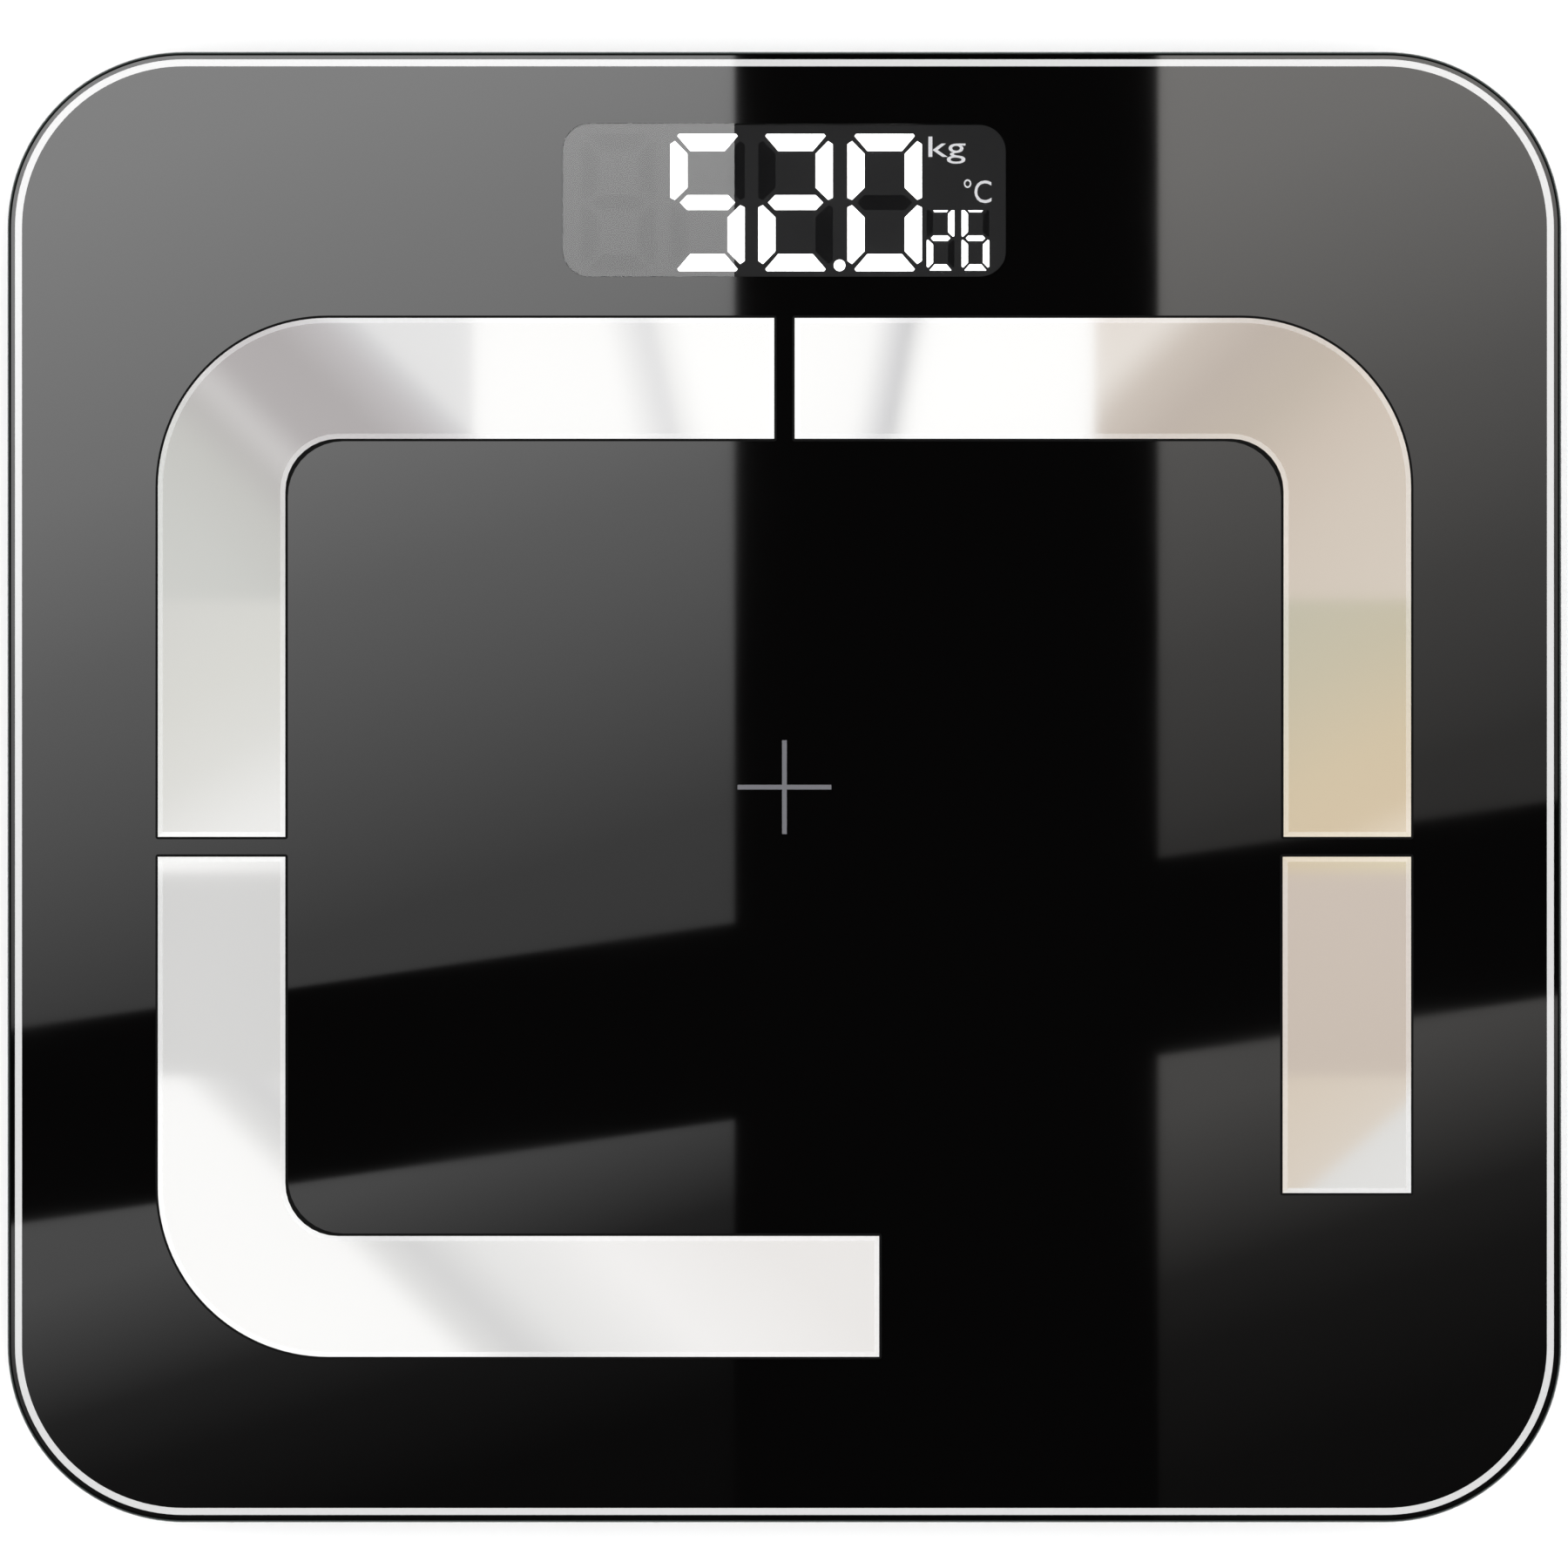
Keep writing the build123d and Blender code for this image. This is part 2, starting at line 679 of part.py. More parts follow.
def switch_parts():
    """The unit button: its cap in the tray floor, and the tact switch on the board above it."""
    cap_low = tray_floor_z + button_sink
    flange_low = tray_floor_top + button_flange_gap
    flange_top = flange_low + button_flange_thickness
    cap = disc(button_x, button_y, cap_low, button_r, flange_top - cap_low)
    cap = fillet(edges_at(cap, cap_low), 0.4)
    cap += disc(button_x, button_y, flange_low, button_flange_r, button_flange_thickness)
    keep("unit_button", cap)
    body_low = board_z - switch_height
    body = at(button_x, button_y, body_low + switch_height / 2) * Box(switch_side, switch_side, switch_height)
    bore_top = board_z - 0.1
    body -= disc(button_x, button_y, body_low - 1, plunger_r + plunger_clearance, bore_top - body_low + 1)
    keep("switch_body", body)
    plunger_top = bore_top - switch_travel
    keep("switch_plunger", disc(button_x, button_y, flange_top, plunger_r, plunger_top - flange_top))


# ---------------------------------------------------------------- batteries, contacts and door
def battery_rows():
    """Each cell's y and the side, -1 or +1, that its positive end faces."""
    first = bay_y - (cell_count - 1) * cell_pitch / 2
    return [(first + i * cell_pitch, 1 if i % 2 == 0 else -1) for i in range(cell_count)]


def battery(y, side):
    """An AAA cell lying along X, its cap touching the flat contact."""
    tip = bay_length / 2 - contact_thickness
    body_length = cell_length - cell_cap_length
    body = Cylinder(cell_radius, body_length)
    body = fillet(body.edges().filter_by(GeomType.CIRCLE), 0.6)
    middle = side * (tip - cell_cap_length - body_length / 2)
    shape = at(middle, y, battery_z) * Rot(0, 90, 0) * body
    cap_middle = side * (tip - cell_cap_length / 2 - 0.25)
    shape += at(cap_middle, y, battery_z) * Rot(0, 90, 0) * Cylinder(cell_cap_r, cell_cap_length + 0.5)
    return shape


def battery_contacts():
    """Sprung-steel plates on the bay's end walls; neighbouring cells share a wider plate."""
    rows = battery_rows()
    half = contact_height / 2
    wall = bay_length / 2
    pairs = {1: [(0, 0), (1, 2)], -1: [(0, 1), (2, 2)]}
    solids = []
    for side, spans in pairs.items():
        x_low = wall - contact_thickness if side > 0 else -wall
        for first, last in spans:
            y_low = rows[first][0] - half
            y_high = rows[last][0] + half
            plate = block(x_low, x_low + contact_thickness, y_low, y_high,
                          battery_z - half, battery_z + half)
            long_edges = plate.edges().filter_by(Axis.X)
            solids.append(fillet(long_edges, 0.8))
    return compound(solids)


def battery_springs():
    """Conical springs, pressed between the negative plate and the end of each cell."""
    solids = []
    free_length = spring_length - 2 * spring_wire_r - 2 * spring_end_gap
    cone = math.degrees(math.atan((spring_r_big - spring_r_small) / free_length))
    for y, side in battery_rows():
        path = Helix(pitch=free_length / spring_turns, height=free_length, radius=spring_r_big,
                     cone_angle=-cone)
        start = path @ 0
        profile = Plane(origin=start, z_dir=path % 0) * Circle(spring_wire_r)
        coil = sweep(profile, path=path)
        wall = -side * (bay_length / 2 - contact_thickness - spring_wire_r - spring_end_gap)
        solids.append(at(wall, y, battery_z) * Rot(0, side * 90, 0) * coil)
    return compound(solids)


def battery_door():
    """A flat door whose hooks reach over the tray's lip and whose tongue springs to release it."""
    half, y_latch, y_hinge = door_box()
    low = tray_floor_z
    plate = block(-half, half, y_latch, y_hinge - door_thickness, low, door_z)
    plate = fillet(plate.edges().filter_by(Axis.Z).sort_by(Axis.Y)[:2], 2.0)
    heel = at(0, y_hinge, door_z) * Rot(0, 90, 0) * Cylinder(door_thickness, 2 * half)
    plate += heel & block(-half, half, y_hinge - door_thickness, y_hinge + door_thickness, low, door_z)
    plate += block(-half, half, y_hinge - 2 * door_thickness, y_hinge, low + 0.3, door_z)
    for x in (-hook_offset_x, hook_offset_x):
        x_low = x - hook_width / 2
        x_high = x + hook_width / 2
        hook_low = door_z + hook_gap
        plate += block(x_low, x_high, y_hinge - 1.0, y_hinge + hook_reach,
                       hook_low, hook_low + hook_thickness)
        plate += block(x_low, x_high, y_hinge - 1.0, y_hinge + 0.8, door_z - 0.4, hook_low + hook_thickness)
    half_tongue = latch_width / 2
    tongue_root = y_latch + latch_length
    for side in (-1, 1):
        x = side * (half_tongue + latch_slot / 2)
        plate -= block(x - latch_slot / 2, x + latch_slot / 2, y_latch - 1, tongue_root, low - 1, door_z + 1)
    plate += block(-half_tongue, half_tongue, y_latch - latch_nose, y_latch + 0.5, low, door_z)
    for i in range(4):
        y = y_latch + 0.6 + i * 1.6
        plate -= block(-half_tongue + 1.5, half_tongue - 1.5, y, y + 0.7, low - 1, low + grip_groove_depth)
    return plate


# ---------------------------------------------------------------- leads inside the tray
def lead(points, radius):
    """A round lead along straight runs joined by tangent arcs."""
    spots = [Vector(*p) for p in points]
    radii = []
    for before, here, after in zip(spots, spots[1:], spots[2:]):
        turn = (here - before).get_angle(after - here)
        shorter = min((here - before).length, (after - here).length)
        radii.append(0.45 * shorter / math.tan(math.radians(turn / 2)))
    path = FilletPolyline(*points, radius=radii)
    profile = Plane(origin=path @ 0, z_dir=path % 0) * Circle(radius)
    tube = sweep(profile, path=path)
    ideal = math.pi * radius ** 2 * path.length
    print("lead: length %.1f, radii %.1f to %.1f, volume ratio %.4f"
          % (path.length, min(radii), max(radii), tube.volume / ideal))
    return tube


def mirrored(points):
    return [(-x, y, z) for x, y, z in points]


def leads():
    plug_z = board_top + connector_height / 2
    plug_y = board_y_low + plug_depth
    gauge_x = foot_x - 5.0 - gauge_length / 2
    cell_lead_z = cell_top + lead_r + 0.2
    rear = [
        (-gauge_x + 0.1, foot_y, cell_lead_z), (-86.5, foot_y, cell_lead_z),
        (-77.5, foot_y - 4.0, 10.3), (-68.0, foot_y - 9.5, lead_z), (-57.5, plug_y - 2.6, lead_z),
        (-47.0, plug_y - 6.1, 9.9), (-40.5, plug_y - 5.8, 11.2), (-38.0, plug_y, plug_z),
    ]
    front = [
        (-gauge_x + 0.1, -foot_y, cell_lead_z), (-86.5, -foot_y, cell_lead_z),
        (-76.5, 3.5 - foot_y, 10.3), (-68.0, 12.0 - foot_y, lead_z), (-64.0, 29.0 - foot_y, lead_z),
        (-62.6, -42.0, lead_z),
        (-63.8, -10.0, lead_z), (-61.8, 20.0, lead_z), (-54.0, 43.0, lead_z),
        (-40.0, plug_y - 28.6, lead_z), (-25.0, plug_y - 19.6, 9.9), (-16.5, plug_y - 11.1, 11.0),
        (-14.0, plug_y, plug_z),
    ]
    stud_low = film_z - stud_tail - 0.05
    near_wire = [
        (-60.0, stud_rear_y, stud_low), (-60.0, stud_rear_y, 11.6), (-56.6, stud_rear_y + 0.2, 9.9),
        (-49.0, stud_rear_y - 1.0, 9.4), (-40.0, stud_rear_y + 0.6, 9.6), (-32.5, plug_y - 8.1, 10.8),
        (-30.0, plug_y, plug_z),
    ]
    far_wire = [
        (-stud_side_x, -40.0, stud_low), (-stud_side_x, -40.0, 11.6), (3.2 - stud_side_x, -39.2, 9.9),
        (-89.0, -34.0, 9.4),
        (-79.0, -22.0, 9.4), (-76.5, 3.0, 9.4), (-77.4, 30.0, 9.4), (-71.0, 50.0, 9.4),
        (-55.0, plug_y - 24.1, 9.4), (-37.0, plug_y - 19.1, 9.6), (-26.0, plug_y - 12.6, 10.6),
        (-22.0, plug_y, plug_z),
    ]
    bay_x = bay_length / 2 + bay_wall + 0.4
    supply = [
        (-bay_x, bay_y + 11.1, 10.0), (-bay_x - 5.0, bay_y + 12.4, 9.6), (-37.2, 46.0, 9.4),
        (-31.0, plug_y - 31.6, 9.4), (-19.0, plug_y - 27.1, 9.4), (-9.0, plug_y - 18.6, 9.6),
        (-5.4, plug_y - 9.1, 10.8),
        (-4.5, plug_y, plug_z),
    ]
    keep("load_cell_lead_rear_left", lead(rear, lead_r))
    keep("load_cell_lead_rear_right", lead(mirrored(rear), lead_r))
    keep("load_cell_lead_front_left", lead(front, lead_r))
    keep("load_cell_lead_front_right", lead(mirrored(front), lead_r))
    wires = [lead(near_wire, wire_r), lead(mirrored(near_wire), wire_r),
             lead(far_wire, wire_r), lead(mirrored(far_wire), wire_r)]
    keep("electrode_leads", compound(wires))
    keep("battery_leads", compound([lead(supply, wire_r), lead(mirrored(supply), wire_r)]))


# ---------------------------------------------------------------- the whole scale
keep("glass_platform", glass_platform())
keep("printed_film", printed_film())
keep("window_tint", window_tint())
electrodes()
keep("electrode_studs", electrode_studs())
keep("base_tray", base_tray())
keep("glass_tape", glass_tape())
corner_parts()
keep("clamp_screws", clamp_screws())
display_parts()
board_parts()
switch_parts()
for index, (row_y, row_side) in enumerate(battery_rows(), start=1):
    keep("battery_%d" % index, battery(row_y, row_side))
keep("battery_contacts", battery_contacts())
keep("battery_springs", battery_springs())
keep("battery_door", battery_door())
leads()

os.makedirs("parts", exist_ok=True)
for node_name, node_shape in nodes.items():
    export_step(node_shape, "parts/" + node_name + ".step")
print(len(nodes), "nodes")
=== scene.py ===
import json
import math

import bmesh
import bpy
from bpy.props import FloatProperty, FloatVectorProperty, PointerProperty
from mathutils import Matrix, Vector

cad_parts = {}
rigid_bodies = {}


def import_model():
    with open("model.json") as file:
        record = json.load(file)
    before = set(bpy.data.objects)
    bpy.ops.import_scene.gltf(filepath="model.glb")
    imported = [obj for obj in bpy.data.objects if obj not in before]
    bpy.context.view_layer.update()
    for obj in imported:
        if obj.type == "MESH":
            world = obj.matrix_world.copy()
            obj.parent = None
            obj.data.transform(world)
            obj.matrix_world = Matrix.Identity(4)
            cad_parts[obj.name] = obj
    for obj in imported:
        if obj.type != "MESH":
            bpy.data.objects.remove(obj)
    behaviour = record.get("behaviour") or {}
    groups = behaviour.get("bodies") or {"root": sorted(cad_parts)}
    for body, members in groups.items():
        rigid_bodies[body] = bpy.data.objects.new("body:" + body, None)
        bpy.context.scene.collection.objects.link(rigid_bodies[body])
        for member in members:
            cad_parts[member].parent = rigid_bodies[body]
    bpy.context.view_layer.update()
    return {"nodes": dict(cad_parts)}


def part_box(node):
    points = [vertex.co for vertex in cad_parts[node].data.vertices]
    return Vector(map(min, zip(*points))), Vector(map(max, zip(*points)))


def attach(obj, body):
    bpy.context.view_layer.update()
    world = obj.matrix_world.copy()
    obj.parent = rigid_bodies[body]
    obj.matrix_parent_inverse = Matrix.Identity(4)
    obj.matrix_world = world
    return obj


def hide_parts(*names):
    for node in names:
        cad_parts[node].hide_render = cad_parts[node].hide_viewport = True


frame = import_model()
nodes = frame["nodes"]

bl_info = {
    "name": "Bathroom scale looks",
    "version": (1, 0, 0),
    "blender": (4, 5, 0),
    "location": "View3D > Sidebar > Scale",
    "description": "Builds the visible pieces and finishes of a glass bathroom scale around its CAD frame",
    "category": "Object",
}

MM = 0.001
ROOT = "scale"
CORNERS = ("rear_left", "rear_right", "front_left", "front_right")
GLASS_LOW, GLASS_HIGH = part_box("glass_platform")
WINDOW_LOW, WINDOW_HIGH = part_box("window_tint")
MASK_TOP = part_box("display_mask")[1].z
PLATE_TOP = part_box("electrode_upper_left")[1].z
made = {}


# ---------------------------------------------------------------- settings
def length(name, text, default, **more):
    return FloatProperty(name=name, description=text, default=default, unit="LENGTH", **more)


def colour(name, text, default):
    return FloatVectorProperty(name=name, description=text, default=default, subtype="COLOR",
                               size=3, min=0.0, max=1.0)


class GlassSettings(bpy.types.PropertyGroup):
    corner_radius: length("Corner radius", "Radius of the platform's corners in plan", 31.8 * MM)
    edge_round: length("Edge round", "Width of the ground edge at the top and the bottom", 0.7 * MM)
    line_inset: length("Line inset", "From the edge of the glass to the printed line", 1.4 * MM)
    line_width: length("Line width", "Width of the printed line round the edge", 1.25 * MM)
    cross_length: length("Cross length", "Length of each bar of the centre cross", 16.9 * MM)
    cross_width: length("Cross width", "Width of each bar of the centre cross", 0.85 * MM)
    window_radius: length("Window radius", "Corner radius of the display window", 4.8 * MM)
    print_height: length("Print height", "How far the printed marks stand above the glass", 0.012 * MM)
    black: colour("Glass black", "Colour of the printed glass", (0.0007, 0.0006, 0.0006))
    line: colour("Line white", "Colour of the printed line", (0.47, 0.47, 0.47))
    cross: colour("Cross grey", "Colour of the centre cross", (0.12, 0.12, 0.13))
    window: colour("Window", "Colour of the smoked display window", (0.62, 0.62, 0.625))


class ElectrodeSettings(bpy.types.PropertyGroup):
    side_band: length("Side band", "Width of the plates along the sides", 22.95 * MM)
    end_band: length("End band", "Width of the plates along the two ends", 21.75 * MM)
    outer_radius: length("Outer radius", "Radius of a plate's outer corner", 30.6 * MM)
    inner_radius: length("Inner radius", "Radius of a plate's inner corner", 9.5 * MM)
    rim_width: length("Rim width", "Width of the sloped bright rim", 0.9 * MM)
    rim_rise: length("Rim rise", "Height of the sloped rim", 0.12 * MM)
    seam_width: length("Seam width", "Width of the fine seams across the plates", 0.55 * MM)
    seam_depth: length("Seam depth", "Depth of the fine seams", 0.07 * MM)
    # The dark line round each plate is a black strip on the glass: painted shadow, not glue.
    shadow_line_width: length("Shadow line width", "Width of the glue line that shows round a plate", 0.45 * MM)
    steel: colour("Steel", "Colour of the stainless steel", (0.93, 0.925, 0.915))


class TraySettings(bpy.types.PropertyGroup):
    plastic: colour("Tray plastic", "Colour of the moulded tray", (0.018, 0.018, 0.019))
    rubber: colour("Foot rubber", "Colour of the foot pads", (0.03, 0.03, 0.031))
    wrap: colour("Cell wrap", "Colour of the cells' sleeve", (0.02, 0.05, 0.045))
    band: colour("Cell band", "Colour of the band at the cells' positive end", (0.72, 0.38, 0.16))


class StageSettings(bpy.types.PropertyGroup):
    lens: FloatProperty(name="Lens", description="Camera lens in millimetres", default=200.0)
    view_width: length("View width", "Width seen at the top of the glass", 282.45 * MM)
    view_x: length("View X", "X of the middle of the view", -0.08 * MM)
    view_y: length("View Y", "Y of the middle of the view", 0.565 * MM)
    floor: colour("Floor", "Colour of the floor", (0.94, 0.94, 0.94))
    studio: FloatProperty(name="Studio light", description="Strength of the studio light overhead",
                          default=2.8)


# ---------------------------------------------------------------- node helpers
def new_material(name):
    material = bpy.data.materials.new(name)
    material.use_nodes = True
    tree = material.node_tree
    shader = tree.nodes["Principled BSDF"]
    return material, tree, shader


def set_inputs(shader, **values):
    for key, value in values.items():
        shader.inputs[key.replace("_", " ")].default_value = value


def rgba(colour_value):
    return (colour_value[0], colour_value[1], colour_value[2], 1.0)


def object_coords(tree, scale=(1.0, 1.0, 1.0)):
    coords = tree.nodes.new("ShaderNodeTexCoord")
    mapping = tree.nodes.new("ShaderNodeMapping")
    mapping.inputs["Scale"].default_value = scale
    tree.links.new(coords.outputs["Object"], mapping.inputs["Vector"])
    return mapping.outputs["Vector"]


def noise(tree, vector, scale, detail=3.0, roughness=0.55):
    node = tree.nodes.new("ShaderNodeTexNoise")
    node.inputs["Scale"].default_value = scale
    node.inputs["Detail"].default_value = detail
    node.inputs["Roughness"].default_value = roughness
    tree.links.new(vector, node.inputs["Vector"])
    return node.outputs["Fac"]


def remap(tree, value, low, high, from_low=0.3, from_high=0.7):
    node = tree.nodes.new("ShaderNodeMapRange")
    node.inputs["From Min"].default_value = from_low
    node.inputs["From Max"].default_value = from_high
    node.inputs["To Min"].default_value = low
    node.inputs["To Max"].default_value = high
    tree.links.new(value, node.inputs["Value"])
    return node.outputs["Result"]


def mix_colours(tree, value, low, high):
    node = tree.nodes.new("ShaderNodeMix")
    node.data_type = "RGBA"
    node.inputs[6].default_value = rgba(low)
    node.inputs[7].default_value = rgba(high)
    tree.links.new(value, node.inputs["Factor"])
    return node.outputs[2]


def bump(tree, shader, height, distance, strength):
    node = tree.nodes.new("ShaderNodeBump")
    node.inputs["Distance"].default_value = distance
    node.inputs["Strength"].default_value = strength
    tree.links.new(height, node.inputs["Height"])
    tree.links.new(node.outputs["Normal"], shader.inputs["Normal"])


def shaded(colour_value, share):
    return tuple(max(0.0, min(1.0, part * share)) for part in colour_value)


def moulded_plastic(name, colour_value, roughness=0.45, grain=1400.0, depth=0.00002, shine=0.5):
    """Injection-moulded plastic with a fine spark-eroded grain and a little unevenness."""
    material, tree, shader = new_material(name)
    vector = object_coords(tree)
    broad = noise(tree, vector, 60.0, 2.0)
    fine = noise(tree, vector, grain, 2.0)
    tint = mix_colours(tree, broad, shaded(colour_value, 0.88), shaded(colour_value, 1.14))
    tree.links.new(tint, shader.inputs["Base Color"])
    rough = remap(tree, fine, roughness - 0.06, roughness + 0.08)
    tree.links.new(rough, shader.inputs["Roughness"])
    bump(tree, shader, fine, depth, 0.6)
    set_inputs(shader, Specular_IOR_Level=shine)
    return material


def metal(name, colour_value, roughness=0.3, scale=(1.0, 1.0, 1.0), grain=900.0, depth=0.000004):
    """Bare metal with fine rolling marks and slight tone changes."""
    material, tree, shader = new_material(name)
    vector = object_coords(tree, scale)
    marks = noise(tree, vector, grain, 4.0, 0.6)
    broad = noise(tree, object_coords(tree), 25.0, 2.0)
    tint = mix_colours(tree, broad, shaded(colour_value, 0.96), shaded(colour_value, 1.02))
    tree.links.new(tint, shader.inputs["Base Color"])
    tree.links.new(remap(tree, marks, roughness - 0.04, roughness + 0.05), shader.inputs["Roughness"])
    bump(tree, shader, marks, depth, 0.5)
    set_inputs(shader, Metallic=1.0)
    return material


def glowing(name, colour_value, strength, unevenness=0.03):
    """A diffuser lit from behind, slightly uneven in brightness. On the display mask, the icon film and the
    unlit segments the same glow is painted light on parts that are no lamp.
    """
    material, tree, shader = new_material(name)
    vector = object_coords(tree)
    cloud = noise(tree, vector, 220.0, 2.0)
    tint = mix_colours(tree, cloud, shaded(colour_value, 1.0 - unevenness), colour_value)
    tree.links.new(tint, shader.inputs["Emission Color"])
    tree.links.new(tint, shader.inputs["Base Color"])
    set_inputs(shader, Emission_Strength=strength, Roughness=0.5)
    return material


def fill_ramp(ramp, stops):
    """Sets the points of a colour ramp from (position, colour) pairs."""
    points = ramp.color_ramp.elements
    while len(points) < len(stops):
        points.new(0.5)
    for point, (place, colour_value) in zip(points, stops):
        point.position = place
        point.color = rgba(colour_value)


def material_of(name, maker, *values):
    """The named material, made once."""
    if name not in made:
        made[name] = maker(name, *values)
    return made[name]


def black_foam():
    return material_of("foam_black", moulded_plastic, (0.012, 0.012, 0.012), 0.85, 700.0, 0.00008, 0.2)


def finish_node(node, material):
    """Gives a CAD node its finish."""
    mesh = nodes[node].data
    mesh.materials.clear()
    mesh.materials.append(material)


# ---------------------------------------------------------------- mesh helpers
def bevel(bm, edges, width, segments=3):
    bmesh.ops.bevel(bm, geom=edges, offset=width, offset_type="OFFSET", affect="EDGES",
                    segments=segments, profile=0.5, material=-1)


def upright_edges(bm):
    return [e for e in bm.edges
            if abs(e.verts[0].co.x - e.verts[1].co.x) < 1e-7
            and abs(e.verts[0].co.y - e.verts[1].co.y) < 1e-7]


def level_edges(bm, z):
    return [e for e in bm.edges if all(abs(v.co.z - z) < 1e-7 for v in e.verts)]


def top_face(bm):
    return max(bm.faces, key=lambda f: (round(f.calc_center_median().z, 7), f.calc_area()))


def rounded_slab(low, high, radius, segments=16):
    """A new bmesh: a box between two corners, its upright edges rounded."""
    bm = bmesh.new()
    size = high - low
    place = Matrix.Translation((low + high) / 2) @ Matrix.Diagonal((size.x, size.y, size.z, 1.0))
    bmesh.ops.create_cube(bm, size=1.0, matrix=place)
    if radius > 0:
        bevel(bm, upright_edges(bm), radius, segments)
    return bm


def add_piece(name, bm, materials, body=ROOT, replaces=(), angle=40.0):
    """Makes an object of a bmesh, smooth but for its sharp edges, and hangs it on its body."""
    mesh = bpy.data.meshes.new(name)
    bm.to_mesh(mesh)
    bm.free()
    for material in materials:
        mesh.materials.append(material)
    mesh.polygons.foreach_set("use_smooth", [True] * len(mesh.polygons))
    mesh.set_sharp_from_angle(angle=math.radians(angle))
    mesh.polygons.foreach_set("use_smooth", [abs(p.normal.z) < 0.9999 for p in mesh.polygons])
    piece = bpy.data.objects.new(name, mesh)
    bpy.context.scene.collection.objects.link(piece)
    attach(piece, body)
    if replaces:
        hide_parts(*replaces)
    return piece


def cut(bm, cutters):
    """The bmesh with each cutter's volume taken out of it, as a new bmesh."""
    body_mesh = bpy.data.meshes.new("cut_body")
    bm.to_mesh(body_mesh)
    bm.free()
    body = bpy.data.objects.new("cut_body", body_mesh)
    bpy.context.scene.collection.objects.link(body)
    tools = []
    for cutter in cutters:
        mesh = bpy.data.meshes.new("cutter")
        cutter.to_mesh(mesh)
        cutter.free()
        tool = bpy.data.objects.new("cutter", mesh)
        bpy.context.scene.collection.objects.link(tool)
        modifier = body.modifiers.new("cut", "BOOLEAN")
        modifier.operation = "DIFFERENCE"
        modifier.solver = "EXACT"
        modifier.object = tool
        tools.append(tool)
    depsgraph = bpy.context.evaluated_depsgraph_get()
    result = bpy.data.meshes.new_from_object(body.evaluated_get(depsgraph))
    out = bmesh.new()
    out.from_mesh(result)
    for obj in [body] + tools:
        mesh = obj.data
        bpy.data.objects.remove(obj)
        bpy.data.meshes.remove(mesh)
    bpy.data.meshes.remove(result)
    return out


def outline_plate(corners, radii, z_low, z_high):
    """A flat plate from a few corner points, each with its own corner radius."""
    bm = bmesh.new()
    verts = [bm.verts.new((x, y, z_low)) for x, y in corners]
    base = bm.faces.new(verts)
    raised = bmesh.ops.extrude_face_region(bm, geom=[base])
    lifted = [g for g in raised["geom"] if isinstance(g, bmesh.types.BMVert)]
    bmesh.ops.translate(bm, vec=(0, 0, z_high - z_low), verts=lifted)
    bmesh.ops.recalc_face_normals(bm, faces=bm.faces)
    for (x, y), radius in zip(corners, radii):
        corner = [e for e in upright_edges(bm)
                  if abs(e.verts[0].co.x - x) < 1e-6 and abs(e.verts[0].co.y - y) < 1e-6]
        if radius > 0:
            bevel(bm, corner, radius, max(3, int(radius / MM)))
    return bm


# ---------------------------------------------------------------- glass and its print
def black_glass(name, colour_value):
    """Black-backed glass: a clean dark surface with the faintest unevenness."""
    material, tree, shader = new_material(name)
    vector = object_coords(tree)
    broad = noise(tree, vector, 14.0, 2.0)
    fine = noise(tree, vector, 260.0, 3.0)
    tint = mix_colours(tree, fine, shaded(colour_value, 0.8), shaded(colour_value, 1.2))
    tree.links.new(tint, shader.inputs["Base Color"])
    tree.links.new(remap(tree, broad, 0.028, 0.045), shader.inputs["Roughness"])
    set_inputs(shader, Specular_IOR_Level=0.5, IOR=1.5)
    return material


def glass_edge(name, colour_value):
    """The ground and polished edge, where the body of the glass shows deep green-black."""
    material, tree, shader = new_material(name)
    vector = object_coords(tree, (1.0, 1.0, 6.0))
    streaks = noise(tree, vector, 90.0, 3.0)
    tint = mix_colours(tree, streaks, shaded(colour_value, 0.8), shaded(colour_value, 1.35))
    tree.links.new(tint, shader.inputs["Base Color"])
    tree.links.new(remap(tree, streaks, 0.10, 0.17), shader.inputs["Roughness"])
    bump(tree, shader, noise(tree, vector, 700.0, 2.0), 0.000006, 0.4)
    set_inputs(shader, Specular_IOR_Level=0.5, IOR=1.5, Coat_Weight=0.35, Coat_Roughness=0.04)
    return material


def printed_ink(name, colour_value):
    """Opaque ink seen through glass, so it has the glass's own gloss."""
    material, tree, shader = new_material(name)
    grain = noise(tree, object_coords(tree), 1600.0, 2.0)
    tint = mix_colours(tree, grain, shaded(colour_value, 0.95), shaded(colour_value, 1.04))
    tree.links.new(tint, shader.inputs["Base Color"])
    set_inputs(shader, Roughness=0.035, Specular_IOR_Level=0.5, IOR=1.5)
    return material


def smoked_glass(name, colour_value):
    """The clear window of smoked glass, which bends the view of the display below it."""
    material, tree, shader = new_material(name)
    grain = noise(tree, object_coords(tree), 500.0, 2.0)
    tint = mix_colours(tree, grain, shaded(colour_value, 0.98), shaded(colour_value, 1.02))
    tree.links.new(tint, shader.inputs["Base Color"])
    set_inputs(shader, Roughness=0.0, Transmission_Weight=1.0, IOR=1.62)
    return material


def window_corners(gap, z_low, z_high):
    low = Vector((WINDOW_LOW.x + gap, WINDOW_LOW.y + gap, z_low))
    high = Vector((WINDOW_HIGH.x - gap, WINDOW_HIGH.y - gap, z_high))
    return low, high


